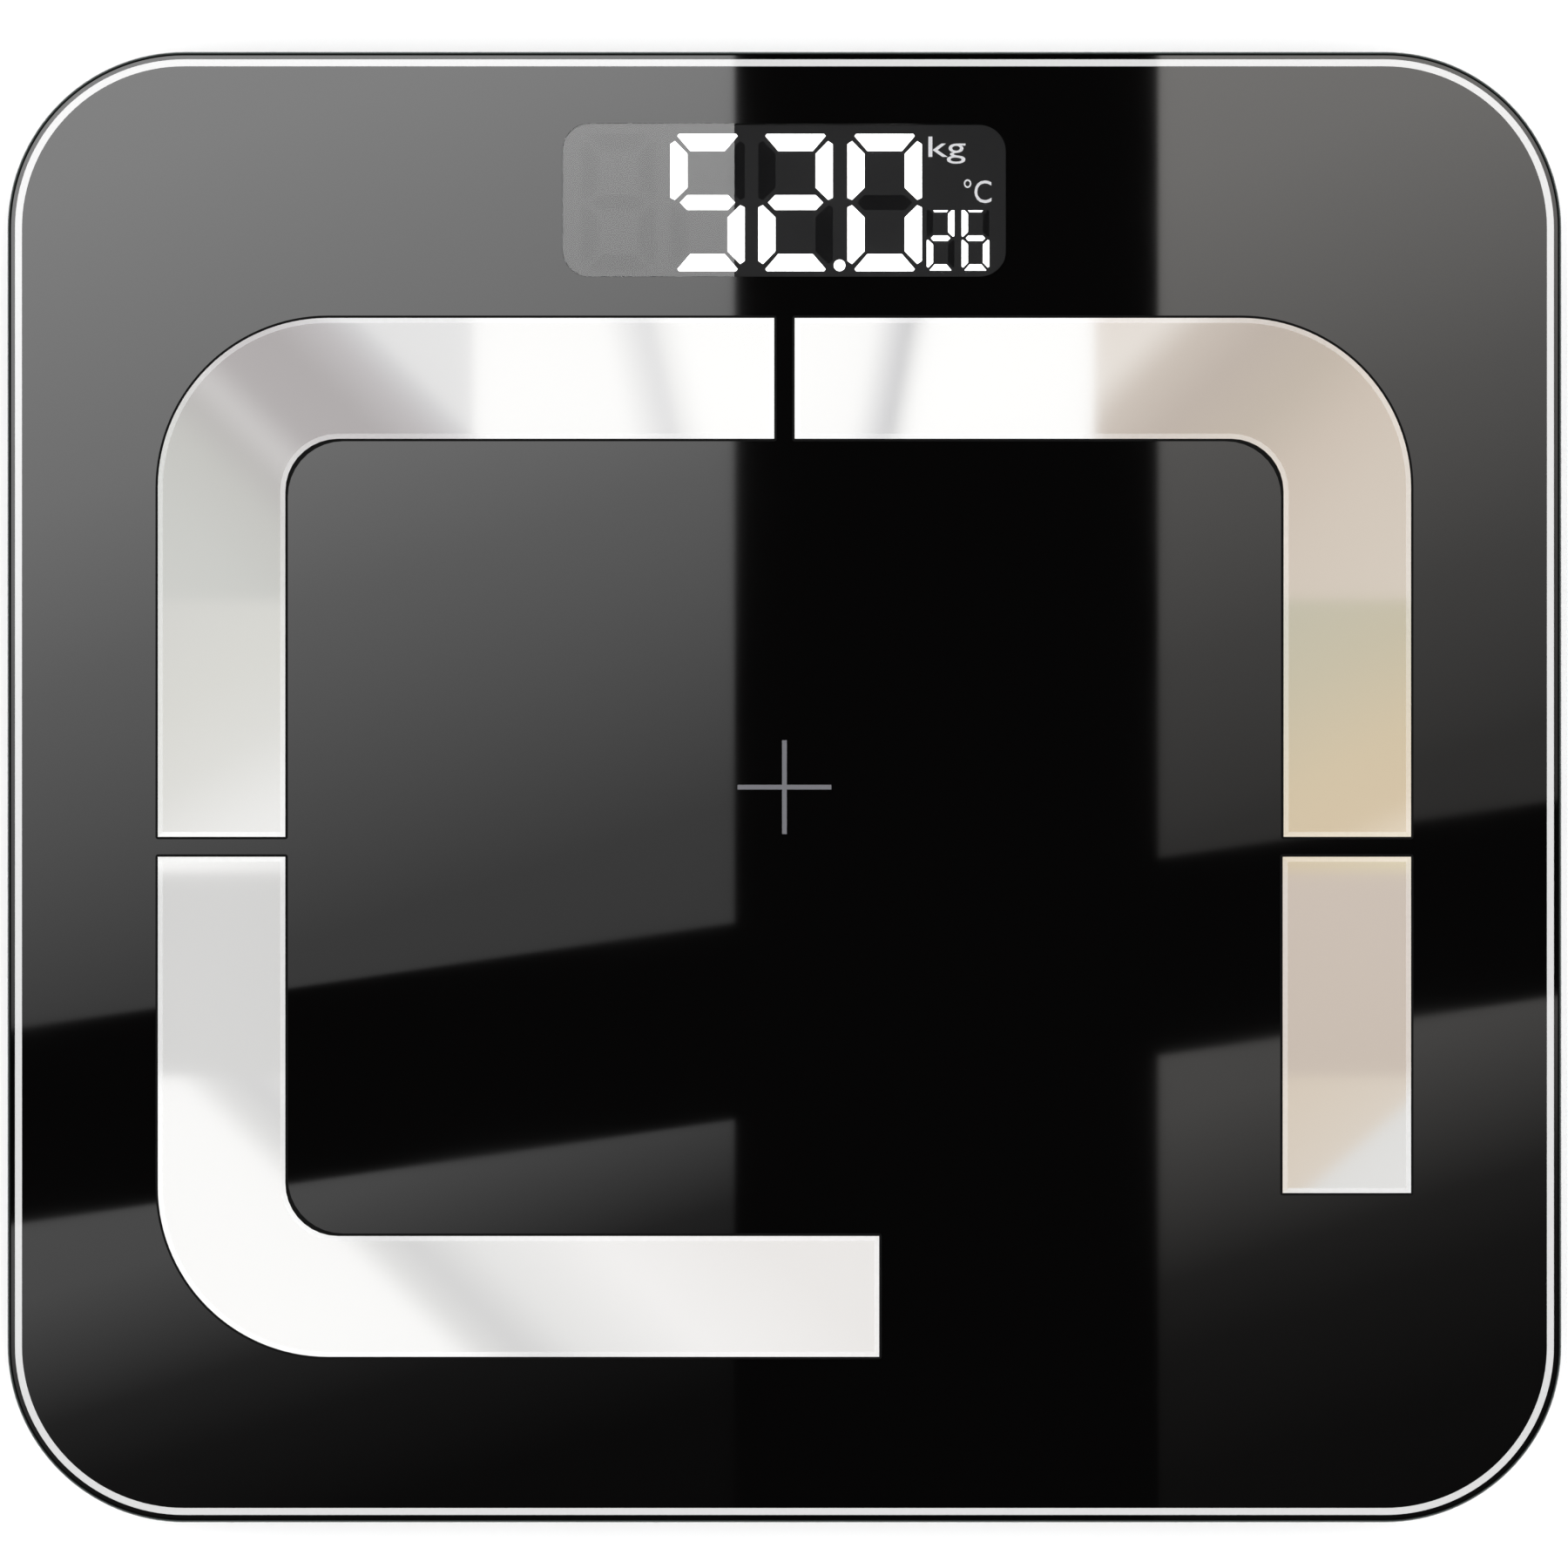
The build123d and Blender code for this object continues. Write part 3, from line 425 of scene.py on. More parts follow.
class SCALE_OT_glass(bpy.types.Operator):
    """Builds the glass platform with its display window"""

    bl_idname = "bathroom_scale.glass"
    bl_label = "Glass platform"

    def execute(self, context):
        look = context.scene.scale_glass
        top = material_of("black_glass", black_glass, look.black)
        edge = material_of("glass_edge", glass_edge, (0.010, 0.016, 0.0145))
        bm = rounded_slab(GLASS_LOW, GLASS_HIGH, look.corner_radius, 32)
        rims = level_edges(bm, GLASS_LOW.z) + level_edges(bm, GLASS_HIGH.z)
        bevel(bm, rims, look.edge_round, 4)
        low, high = window_corners(-0.00001, GLASS_LOW.z - MM, GLASS_HIGH.z + MM)
        bm = cut(bm, [rounded_slab(low, high, look.window_radius, 12)])
        bm.normal_update()
        for face in bm.faces:
            centre = face.calc_center_median()
            inside = low.x < centre.x < high.x and low.y < centre.y < high.y
            face.material_index = 0 if face.normal.z > 0.98 else (2 if inside else 1)
        well = material_of("well_black", moulded_plastic, (0.004, 0.004, 0.004), 0.85, 900.0, 0.000002, 0.1)
        add_piece("glass_plate", bm, [top, edge, well], replaces=("glass_platform",), angle=15.0)
        low, high = window_corners(0.02 * MM, GLASS_LOW.z, GLASS_HIGH.z)
        pane = rounded_slab(low, high, look.window_radius, 12)
        pane.normal_update()
        for face in pane.faces:
            face.material_index = 0 if abs(face.normal.z) > 0.5 else 1
        smoked = material_of("smoked_glass", smoked_glass, look.window)
        add_piece("window_pane", pane, [smoked, well], replaces=("window_tint",))
        return {"FINISHED"}


class SCALE_OT_print(bpy.types.Operator):
    """Builds the printed line round the glass and the cross in its middle"""

    bl_idname = "bathroom_scale.print"
    bl_label = "Printed marks"

    def execute(self, context):
        look = context.scene.scale_glass
        inset = Vector((look.line_inset, look.line_inset, 0.0))
        low = GLASS_LOW + inset
        high = GLASS_HIGH - inset
        low.z = GLASS_HIGH.z - 0.05 * MM
        high.z = GLASS_HIGH.z + look.print_height
        ring = rounded_slab(low, high, look.corner_radius - look.line_inset, 32)
        inner_gap = Vector((look.line_width, look.line_width, 0.0))
        inner_low = low + inner_gap - Vector((0, 0, MM))
        inner_high = high - inner_gap + Vector((0, 0, MM))
        inner_radius = look.corner_radius - look.line_inset - look.line_width
        ring = cut(ring, [rounded_slab(inner_low, inner_high, inner_radius, 32)])
        white = material_of("line_ink", printed_ink, look.line)
        add_piece("border_line", ring, [white])

        half = look.cross_length / 2
        wide = look.cross_width / 2
        arms = [(wide, wide), (half, wide), (half, -wide), (wide, -wide), (wide, -half), (-wide, -half),
                (-wide, -wide), (-half, -wide), (-half, wide), (-wide, wide), (-wide, half), (wide, half)]
        cross = outline_plate(arms, [0.0] * len(arms), low.z, high.z)
        grey = material_of("cross_ink", printed_ink, look.cross)
        add_piece("centre_cross", cross, [grey])
        return {"FINISHED"}


# ---------------------------------------------------------------- electrodes
def satin_steel(name, colour_value):
    """Satin stainless steel: fine cross-grain, soft sheen, faint tone changes."""
    material, tree, shader = new_material(name)
    grain = noise(tree, object_coords(tree, (40.0, 1.0, 1.0)), 260.0, 3.0, 0.6)
    cloud = noise(tree, object_coords(tree), 18.0, 2.0)
    tint = mix_colours(tree, cloud, shaded(colour_value, 0.975), shaded(colour_value, 1.01))
    tree.links.new(tint, shader.inputs["Base Color"])
    tree.links.new(remap(tree, grain, 0.21, 0.27), shader.inputs["Roughness"])
    bump(tree, shader, grain, 0.0000015, 0.35)
    set_inputs(shader, Metallic=1.0)
    return material


def electrode_outline(name, look):
    """A plate's corner points and radii, from its CAD box and the widths of its bands."""
    low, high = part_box(name)
    side, end = look.side_band, look.end_band
    outer, inner, tip = look.outer_radius, look.inner_radius, 0.0
    if name.endswith("upper_left"):
        points = [(low.x, low.y), (low.x + side, low.y), (low.x + side, high.y - end),
                  (high.x, high.y - end), (high.x, high.y), (low.x, high.y)]
        radii = [tip, tip, inner, tip, tip, outer]
    elif name.endswith("upper_right"):
        points = [(high.x, low.y), (high.x, high.y), (low.x, high.y), (low.x, high.y - end),
                  (high.x - side, high.y - end), (high.x - side, low.y)]
        radii = [tip, outer, tip, tip, inner, tip]
    elif name.endswith("lower_left"):
        points = [(low.x, high.y), (low.x, low.y), (high.x, low.y), (high.x, low.y + end),
                  (low.x + side, low.y + end), (low.x + side, high.y)]
        radii = [tip, outer, tip, tip, inner, tip]
    else:
        points = [(low.x, low.y), (high.x, low.y), (high.x, high.y), (low.x, high.y)]
        radii = [tip] * 4
    return points, radii


SEAMS = {
    "electrode_upper_left": [("x", -56.1), ("y", 33.7)],
    "electrode_upper_right": [("x", 55.9), ("y", 33.7)],
    "electrode_lower_left": [("y", -52.0)],
    "electrode_lower_right": [("y", -52.0)],
}


def seam_lines(look, axis, place):
    """The direction across a seam, and the places where its two sides lie."""
    half = look.seam_width / 2
    turn = Vector((1, 0, 0)) if axis == "x" else Vector((0, 1, 0))
    return turn, (turn * (place * MM - half), turn * (place * MM + half))


def cut_seam(bm, look, axis, place):
    """Sinks a fine groove across the flat of a plate, between its rims."""
    turn, sides = seam_lines(look, axis, place)
    for side in sides:
        whole = bm.verts[:] + bm.edges[:] + bm.faces[:]
        bmesh.ops.bisect_plane(bm, geom=whole, dist=1e-9, plane_co=side, plane_no=turn)
    bm.normal_update()
    strip = [f for f in bm.faces if f.normal.z > 0.99
             and abs(f.calc_center_median().z - PLATE_TOP) < 1e-6
             and abs(f.calc_center_median().dot(turn) - place * MM) < look.seam_width / 2]
    sunk = bmesh.ops.extrude_face_region(bm, geom=strip)["geom"]
    floor = [g for g in sunk if isinstance(g, bmesh.types.BMFace)]
    verts = [g for g in sunk if isinstance(g, bmesh.types.BMVert)]
    bmesh.ops.translate(bm, vec=(0, 0, -look.seam_depth), verts=verts)
    for face in floor:
        face.material_index = 2


def ground_rim(name, colour_value):
    """The ground edge of a plate, which scatters the light instead of mirroring it."""
    material, tree, shader = new_material(name)
    grain = noise(tree, object_coords(tree), 1200.0, 3.0)
    tint = mix_colours(tree, grain, shaded(colour_value, 0.93), shaded(colour_value, 1.03))
    tree.links.new(tint, shader.inputs["Base Color"])
    bump(tree, shader, grain, 0.000003, 0.5)
    set_inputs(shader, Metallic=0.86, Roughness=0.3)
    return material


class SCALE_OT_electrodes(bpy.types.Operator):
    """Builds the four stainless-steel electrode plates with their rims and seams"""

    bl_idname = "bathroom_scale.electrodes"
    bl_label = "Electrode plates"

    def execute(self, context):
        look = context.scene.scale_electrodes
        steel = material_of("satin_steel", satin_steel, look.steel)
        rim = material_of("ground_rim", ground_rim, (0.96, 0.96, 0.955))
        seam = material_of("seam_shade", moulded_plastic, (0.21, 0.21, 0.205), 0.6, 900.0, 0.000002, 0.2)
        # Near-black finish for the strip round each plate: a painted shadow line.
        glue = material_of("glue_black", moulded_plastic, (0.004, 0.004, 0.004), 0.55, 900.0, 0.000002, 0.2)
        for name, seams in SEAMS.items():
            points, radii = electrode_outline(name, look)
            bm = outline_plate(points, radii, GLASS_HIGH.z, PLATE_TOP - look.rim_rise)
            face = top_face(bm)
            sloped = bmesh.ops.inset_region(bm, faces=[face], thickness=look.rim_width,
                                            depth=look.rim_rise, use_even_offset=True)
            for side in sloped["faces"]:
                side.material_index = 1
            for axis, place in seams:
                cut_seam(bm, look, axis, place)
            add_piece(name + "_plate", bm, [steel, rim, seam], replaces=(name,),
                      angle=4.0)
            self.add_shadow_line(name, look, points, radii, glue)
        return {"FINISHED"}

    def add_shadow_line(self, name, look, points, radii, glue):
        """A thin dark strip laid on the glass round a plate: a painted shadow of the plate's edge."""
        grown = grow_outline(points, look.shadow_line_width)
        rounds = [r + look.shadow_line_width for r in radii]
        bm = outline_plate(grown, rounds, GLASS_HIGH.z - 0.03 * MM, GLASS_HIGH.z + 0.02 * MM)
        add_piece(name + "_glue", bm, [glue])


def grow_outline(points, reach):
    """The corner points of a right-angled outline moved outwards by a distance."""
    area = sum(a[0] * b[1] - b[0] * a[1] for a, b in zip(points, points[1:] + points[:1]))
    way = 1.0 if area > 0 else -1.0
    grown = []
    for index, point in enumerate(points):
        before = Vector(points[index - 1])
        here = Vector(point)
        after = Vector(points[(index + 1) % len(points)])
        first = (here - before).normalized()
        second = (after - here).normalized()
        out = Vector((first.y, -first.x)) + Vector((second.y, -second.x))
        grown.append(tuple(here + way * reach * out))
    return grown


# ---------------------------------------------------------------- display
def text_mesh(text, low_x, high_x, low_y, high_y, z):
    """Plain lettering for a unit mark, fitted to a box."""
    curve = bpy.data.curves.new("mark", "FONT")
    curve.body = text
    curve.resolution_u = 4
    holder = bpy.data.objects.new("mark", curve)
    bpy.context.scene.collection.objects.link(holder)
    depsgraph = bpy.context.evaluated_depsgraph_get()
    mesh = bpy.data.meshes.new_from_object(holder.evaluated_get(depsgraph))
    bpy.data.objects.remove(holder)
    bpy.data.curves.remove(curve)
    bm = bmesh.new()
    bm.from_mesh(mesh)
    bpy.data.meshes.remove(mesh)
    xs = [v.co.x for v in bm.verts]
    ys = [v.co.y for v in bm.verts]
    sx = (high_x - low_x) / (max(xs) - min(xs))
    sy = (high_y - low_y) / (max(ys) - min(ys))
    for v in bm.verts:
        v.co = Vector((low_x + (v.co.x - min(xs)) * sx, low_y + (v.co.y - min(ys)) * sy, z))
    bmesh.ops.remove_doubles(bm, verts=bm.verts, dist=1e-7)
    return bm


# Areas in plan, as x low, x high, y low, y high in millimetres.
ICON_FILM = (25.2, 38.4, 104.2, 118.2)
ICON_FILM_RADIUS = 0.4 * MM
ICON_FILM_RISE = 0.04 * MM
UNIT_MARK_RISE = 0.06 * MM
UNIT_MARKS = [
    ("unit_mark_weight", "kg", (26.0, 32.7, 112.6, 117.5)),
    ("unit_mark_temperature", "°C", (32.4, 37.4, 105.5, 109.8)),
]


class SCALE_OT_display(bpy.types.Operator):
    """Lights the display's digits and adds its unit marks"""

    bl_idname = "bathroom_scale.display"
    bl_label = "Display"

    def execute(self, context):
        lit = material_of("lit_segment", glowing, (1.0, 1.0, 1.0), 4.5, 0.01)
        # The unlit segments glow faintly although they are not lit: a painted glow.
        dim = material_of("unlit_segment", glowing, (0.055, 0.055, 0.058), 0.1, 0.1)
        mark = material_of("lit_mark", glowing, (0.90, 0.90, 0.92), 1.35, 0.02)
        # The black mask glows faintly: painted light standing in for the display's glow falling on the
        # mask. The icon film below uses it too.
        mask = material_of("mask_black", glowing, (0.013, 0.013, 0.0132), 2.7, 0.08)
        shell = material_of("housing_white", moulded_plastic, (0.62, 0.62, 0.60), 0.5)
        finish_node("display_segments_lit", lit)
        finish_node("display_segments_dark", dim)
        finish_node("display_mask", mask)
        finish_node("display_housing", shell)
        finish_node("display_gasket", black_foam())
        x_low, x_high, y_low, y_high = ICON_FILM
        cover_low = Vector((x_low * MM, y_low * MM, MASK_TOP))
        cover_high = Vector((x_high * MM, y_high * MM, MASK_TOP + ICON_FILM_RISE))
        cover = rounded_slab(cover_low, cover_high, ICON_FILM_RADIUS, 4)
        # The icon film carries the mask's painted glow.
        add_piece("icon_film", cover, [mask])
        for name, text, area in UNIT_MARKS:
            marks = text_mesh(text, *(part * MM for part in area), MASK_TOP + UNIT_MARK_RISE)
            add_piece(name, marks, [mark])
        return {"FINISHED"}


# ---------------------------------------------------------------- cells and inner parts
def wrap_sleeve(name, colour_value):
    """The cells' shrunk plastic sleeve."""
    material, tree, shader = new_material(name)
    ripple = noise(tree, object_coords(tree, (0.4, 1.0, 1.0)), 120.0, 2.0)
    tint = mix_colours(tree, ripple, shaded(colour_value, 0.85), shaded(colour_value, 1.15))
    tree.links.new(tint, shader.inputs["Base Color"])
    bump(tree, shader, ripple, 0.00001, 0.3)
    set_inputs(shader, Roughness=0.22, Coat_Weight=0.5, Coat_Roughness=0.08)
    return material


CELL_PROFILE = [
    (0.0, 0.0), (3.6, 0.0), (3.6, 0.25), (4.7, 0.25), (5.05, 0.6), (5.2, 1.0), (5.2, 42.2),
    (5.05, 42.7), (4.6, 43.0), (4.3, 42.75), (2.6, 42.75), (2.2, 43.2), (1.9, 43.4),
    (1.9, 44.25), (1.65, 44.5), (0.0, 44.5),
]


def cell_shape(y, z, x_low, x_high, side):
    """One AAA cell spun from half its section; side is the way its cap points."""
    bm = bmesh.new()
    tail = x_low if side > 0 else x_high
    verts = [bm.verts.new((tail + side * along * MM, y + out * MM, z)) for out, along in CELL_PROFILE]
    edges = [bm.edges.new(pair) for pair in zip(verts, verts[1:])]
    bmesh.ops.spin(bm, geom=verts + edges, cent=(0, y, z), axis=(1, 0, 0), angle=2 * math.pi,
                   steps=48, use_merge=True)
    bmesh.ops.remove_doubles(bm, verts=bm.verts, dist=1e-6)
    bmesh.ops.recalc_face_normals(bm, faces=bm.faces)
    for face in bm.faces:
        centre = face.calc_center_median()
        along = abs(centre.x - tail) / MM
        out = math.hypot(centre.y - y, centre.z - z) / MM
        sleeve = out > 4.3 and 0.2 < along < 43.1
        face.material_index = 0 if not sleeve else (2 if along > 33.0 else 1)
    return bm


class SCALE_OT_cells(bpy.types.Operator):
    """Builds the three cells behind the battery door"""

    bl_idname = "bathroom_scale.cells"
    bl_label = "Cells"

    def execute(self, context):
        look = context.scene.scale_tray
        steel = material_of("cell_steel", metal, (0.78, 0.78, 0.77), 0.28)
        wrap = material_of("cell_wrap", wrap_sleeve, look.wrap)
        band = material_of("cell_band", wrap_sleeve, look.band)
        for index in (1, 2, 3):
            low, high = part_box("battery_%d" % index)
            side = 1 if index % 2 else -1
            bm = cell_shape((low.y + high.y) / 2, (low.z + high.z) / 2, low.x, high.x, side)
            add_piece("cell_%d" % index, bm, [steel, wrap, band],
                      replaces=("battery_%d" % index,), angle=35.0)
        return {"FINISHED"}


class SCALE_OT_finishes(bpy.types.Operator):
    """Gives the tray, the feet and every inner part its finish"""

    bl_idname = "bathroom_scale.finishes"
    bl_label = "Tray, feet and inner parts"

    def execute(self, context):
        look = context.scene.scale_tray
        tray = material_of("tray_plastic", moulded_plastic, look.plastic, 0.5, 1500.0, 0.00003)
        puck = material_of("foot_plastic", moulded_plastic, (0.05, 0.05, 0.052), 0.4)
        rubber = material_of("foot_rubber", moulded_plastic, look.rubber, 0.8, 800.0, 0.00003, 0.25)
        button = material_of("button_plastic", moulded_plastic, (0.22, 0.22, 0.225), 0.35)
        clamp = material_of("clamp_plastic", moulded_plastic, (0.10, 0.10, 0.11), 0.45)
        film = material_of("film_black", moulded_plastic, (0.006, 0.006, 0.006), 0.35, 600.0, 0.000003)
        plated = material_of("plated_steel", metal, (0.66, 0.67, 0.68), 0.33)
        board = material_of("board_green", moulded_plastic, (0.01, 0.09, 0.035), 0.3, 300.0, 0.00001)
        epoxy = material_of("epoxy_black", moulded_plastic, (0.02, 0.02, 0.02), 0.4)
        white = material_of("white_plastic", moulded_plastic, (0.72, 0.72, 0.70), 0.4)
        wire = material_of("wire_grey", moulded_plastic, (0.12, 0.12, 0.125), 0.4, 500.0, 0.00001)
        sealant = material_of("sealant_white", moulded_plastic, (0.75, 0.75, 0.72), 0.6)
        by_material = [
            (tray, ["base_tray", "battery_door"]),
            (puck, ["foot_button_" + c for c in CORNERS]),
            (rubber, ["foot_pad_" + c for c in CORNERS]),
            (button, ["unit_button"]),
            (clamp, ["load_cell_clamp_" + c for c in CORNERS]),
            (film, ["printed_film"]),
            (black_foam(), ["glass_tape"]),
            (plated, ["load_cell_" + c for c in CORNERS] + ["clamp_screws", "board_screws", "radio_module",
                     "battery_contacts", "battery_springs", "electrode_studs"]),
            (board, ["main_board"]),
            (epoxy, ["controller_chip", "switch_body"]),
            (white, ["lead_connectors", "switch_plunger"]),
            (wire, ["load_cell_lead_" + c for c in CORNERS] + ["electrode_leads", "battery_leads"]),
            (sealant, ["strain_gauge_" + c for c in CORNERS]),
        ]
        for material, names in by_material:
            for name in names:
                finish_node(name, material)
        return {"FINISHED"}


# ---------------------------------------------------------------- stage
# Cards are laid out in plan as their reflections lie on the platform, in millimetres.
# How much of a card's light the glass and the steel send back.
MIRROR_SHARE = 0.043
STEEL_SHARE = 0.92
GLASS_CARD_HEIGHT = 0.30
STEEL_CARD_HEIGHT = PLATE_TOP + 12 * MM
FLAG_HEIGHT = 0.9
FLAG_REACH = 700.0
FLAG_LIGHT = 0.02
SENSOR_WIDTH = 36.0
NEUTRAL = (1.0, 1.0, 1.0)
WARM = (1.0, 0.975, 0.945)
REACH = 185.0
LEFT_EDGE = -9.0
RIGHT_EDGE = 67.4
SLANT = 0.325
LEFT_UPPER_LIGHT = [(-60, 0.037), (-18, 0.039), (0, 0.0437), (13, 0.058), (61, 0.111), (94, 0.165),
                    (125, 0.198), (150, 0.227), (185, 0.25)]
LEFT_LOWER_LIGHT = [(-150, 0.0005), (-106, 0.0015), (-85, 0.0055), (-72, 0.014), (-63, 0.034), (-48, 0.066),
                    (-30, 0.075)]
RIGHT_UPPER_LIGHT = [(-60, 0.022), (-33, 0.0285), (-28, 0.0335), (0, 0.052), (23, 0.0765), (36, 0.090),
                     (53, 0.116), (87, 0.162), (115, 0.185)]
RIGHT_LOWER_LIGHT = [(-190, 0.001), (-148, 0.0028), (-125, 0.0065), (-112, 0.0125), (-97, 0.037),
                     (-82, 0.061), (-60, 0.075)]
# Each: name, light from low to high, tint, corners.
GLASS_CARDS = [
    ("left_card_upper", LEFT_UPPER_LIGHT, NEUTRAL,
     [(-REACH, REACH), (-REACH, -50.4), (LEFT_EDGE, -24.5), (LEFT_EDGE, REACH)]),
    ("left_card_lower", LEFT_LOWER_LIGHT, NEUTRAL,
     [(-REACH, -REACH), (LEFT_EDGE, -REACH), (LEFT_EDGE, -60.0), (-REACH, -85.6)]),
    ("right_card_upper", RIGHT_UPPER_LIGHT, WARM,
     [(RIGHT_EDGE, REACH), (RIGHT_EDGE, -12.8), (REACH, 4.2), (REACH, REACH)]),
    ("right_card_lower", RIGHT_LOWER_LIGHT, WARM,
     [(RIGHT_EDGE, -48.5), (RIGHT_EDGE, -REACH), (REACH, -REACH), (REACH, -30.9)]),
]
# Each: name, direction of change, (place, tone) pairs, areas as x low, x high, y low, y high.
STEEL_CARDS = [
    ("upper_left_white", (1.0, 0.222),
     [(-60, "FFFFFF"), (-14, "FDFDFD"), (-9, "E9E9EA"), (-6, "DDDDDF"), (-4, "F1F1F1"), (0, "FFFFFF"),
      (30, "FFFFFF")],
     [(-56.1, 0.0, 57.0, 92.0)]),
    ("upper_left_corner", (1.0, 1.0),
     [(-80, "CECFCC"), (-60, "CACBC8"), (-45, "C5C5C2"), (-37, "BBB9B8"), (-31, "CCCACA"),
      (-24, "B2AEAF"), (-10, "AFABAC"), (0, "C0BDBF"), (6, "D3D3D5"), (8, "E4E4E5"), (30, "E6E6E7")],
     [(-120.0, -56.1, 33.7, 92.0)]),
    ("upper_left_side", (-0.6, 1.0),
     [(40, "F2F2F2"), (52, "EBEBEA"), (66, "DDDDDA"), (80, "D8D8D4"), (104, "D3D3D0")],
     [(-120.0, -83.0, -10.75, 33.7)]),
    ("upper_right_white", (1.0, -0.18),
     [(-20, "FFFFFF"), (1, "FCFCFC"), (5, "DDDDDF"), (7.5, "C1C1C4"), (9, "EBEBEB"), (11, "FFFFFF"),
      (60, "FFFFFF")],
     [(0.0, 55.9, 57.0, 92.0)]),
    ("upper_right_corner", (1.0, -1.0),
     [(-30, "E2DAD3"), (-16, "E6E0DA"), (-8, "CAC0B7"), (4, "BEB3AA"), (20, "C2B7AB"), (35, "CDC1B5"),
      (50, "D2C7BB"), (80, "D6CCC0")],
     [(55.9, 120.0, 33.7, 92.0)]),
    ("upper_right_side", (0.5, -1.0),
     [(8, "C0BDAC"), (28, "C7BFA9"), (46, "D2C3A8"), (58, "D4C3A8"), (68, "E9DDCC")],
     [(83.0, 120.0, -10.75, 33.7)]),
    ("lower_left_strip", (1.0, 0.0), [(-115, "FFFFFF"), (-88, "EFEFEF")],
     [(-120.0, -83.0, -15.3, -10.75)]),
    ("lower_left_panel", (0.3, 1.0), [(-90, "D5D5D5"), (-40, "D2D2D2")],
     [(-120.0, -83.0, -52.0, -15.3)]),
    ("lower_left_long", (1.0, 1.0),
     [(-220, "FCFCFC"), (-162, "FAFAFA"), (-156, "DEDEDE"), (-149, "D2D2D3"), (-138, "E5E5E5"),
      (-115, "F2F1F1"), (-85, "EAE8E7")],
     [(-120.0, -83.0, -110.0, -52.0), (-83.0, 24.0, -110.0, -74.0)]),
    ("lower_right_strip", (1.0, 0.0), [(88, "D3C4AA"), (115, "DCD1B6")],
     [(83.0, 120.0, -15.3, -10.75)]),
    ("lower_right_panel", (0.3, 1.0), [(-30, "C8BCB1"), (20, "CCC0B6")],
     [(83.0, 120.0, -52.0, -15.3)]),
    ("lower_right_end", (1.0, -1.15),
     [(150, "D5C9BA"), (176, "D9CFC3"), (179, "DEDEDD"), (200, "E3E3E3")],
     [(83.0, 120.0, -80.0, -52.0)]),
]


# How bright the studio is from the horizon (0) to straight above (1).
SKY = [(0.0, 0.42), (0.1, 0.38), (0.22, 0.16), (0.5, 0.14), (0.62, 0.30), (0.8, 0.90), (1.0, 1.05)]


def rectangle(x_low, x_high, y_low, y_high):
    return [(x_low, y_low), (x_high, y_low), (x_high, y_high), (x_low, y_high)]


def emitter_material(name, clear=True):
    """A card's light. A clear card lets rays through, so that cards for other pieces still show."""
    material = bpy.data.materials.new(name)
    material.use_nodes = True
    tree = material.node_tree
    tree.nodes.clear()
    out = tree.nodes.new("ShaderNodeOutputMaterial")
    light = tree.nodes.new("ShaderNodeEmission")
    if clear:
        passing = tree.nodes.new("ShaderNodeBsdfTransparent")
        both = tree.nodes.new("ShaderNodeAddShader")
        tree.links.new(light.outputs[0], both.inputs[0])
        tree.links.new(passing.outputs[0], both.inputs[1])
        tree.links.new(both.outputs[0], out.inputs["Surface"])
    else:
        tree.links.new(light.outputs[0], out.inputs["Surface"])
    material.cycles.emission_sampling = "NONE"
    return material, tree, light


def tone(code):
    """The light that a pale tone, written as a web colour, stands for."""
    parts = [int(code[i:i + 2], 16) / 255.0 for i in (0, 2, 4)]
    return tuple(part / 12.92 if part <= 0.04045 else ((part + 0.055) / 1.055) ** 2.4 for part in parts)


def graded_card_material(name, direction, stops, height):
    """A card whose light changes along a direction in plan, from (place in mm, light) pairs."""
    direction = [part / card_spread(height) for part in direction]
    material, tree, light = emitter_material(name)
    coords = tree.nodes.new("ShaderNodeTexCoord")
    along = tree.nodes.new("ShaderNodeVectorMath")
    along.operation = "DOT_PRODUCT"
    along.inputs[1].default_value = (direction[0], direction[1], 0.0)
    tree.links.new(coords.outputs["Object"], along.inputs[0])
    first, last = stops[0][0], stops[-1][0]
    share = remap(tree, along.outputs["Value"], 0.0, 1.0, first * MM, last * MM)
    ramp = tree.nodes.new("ShaderNodeValToRGB")
    tree.links.new(share, ramp.inputs["Fac"])
    peak = max(max(colour_value) for _, colour_value in stops)
    fill_ramp(ramp, [((place - first) / (last - first), tuple(part / peak for part in colour_value))
                     for place, colour_value in stops])
    tree.links.new(ramp.outputs["Color"], light.inputs["Color"])
    light.inputs["Strength"].default_value = peak
    return material


def card(name, corners, height, material, receivers):
    """A studio card over the platform, which only mirror-like surfaces see."""
    spread = card_spread(height)
    bm = bmesh.new()
    verts = [bm.verts.new((x * MM * spread, y * MM * spread, height)) for x, y in corners]
    bm.faces.new(verts)
    mesh = bpy.data.meshes.new(name)
    bm.to_mesh(mesh)
    bm.free()
    mesh.materials.append(material)
    obj = bpy.data.objects.new(name, mesh)
    bpy.context.scene.collection.objects.link(obj)
    obj.visible_camera = False
    obj.visible_diffuse = False
    obj.visible_transmission = False
    obj.visible_volume_scatter = False
    obj.visible_shadow = False
    obj.light_linking.receiver_collection = receivers
    return obj


def card_spread(height):
    """How much larger a card is than its reflection, from the height that it hangs at."""
    return 1.0 + (height - GLASS_HIGH.z) / camera_distance()


def camera_distance():
    settings = bpy.context.scene.scale_stage
    half = math.atan(SENSOR_WIDTH / 2 / settings.lens)
    return settings.view_width / 2 / math.tan(half)


def receiver_group(name, pieces):
    group = bpy.data.collections.new(name)
    for piece in pieces:
        group.objects.link(piece)
    return group


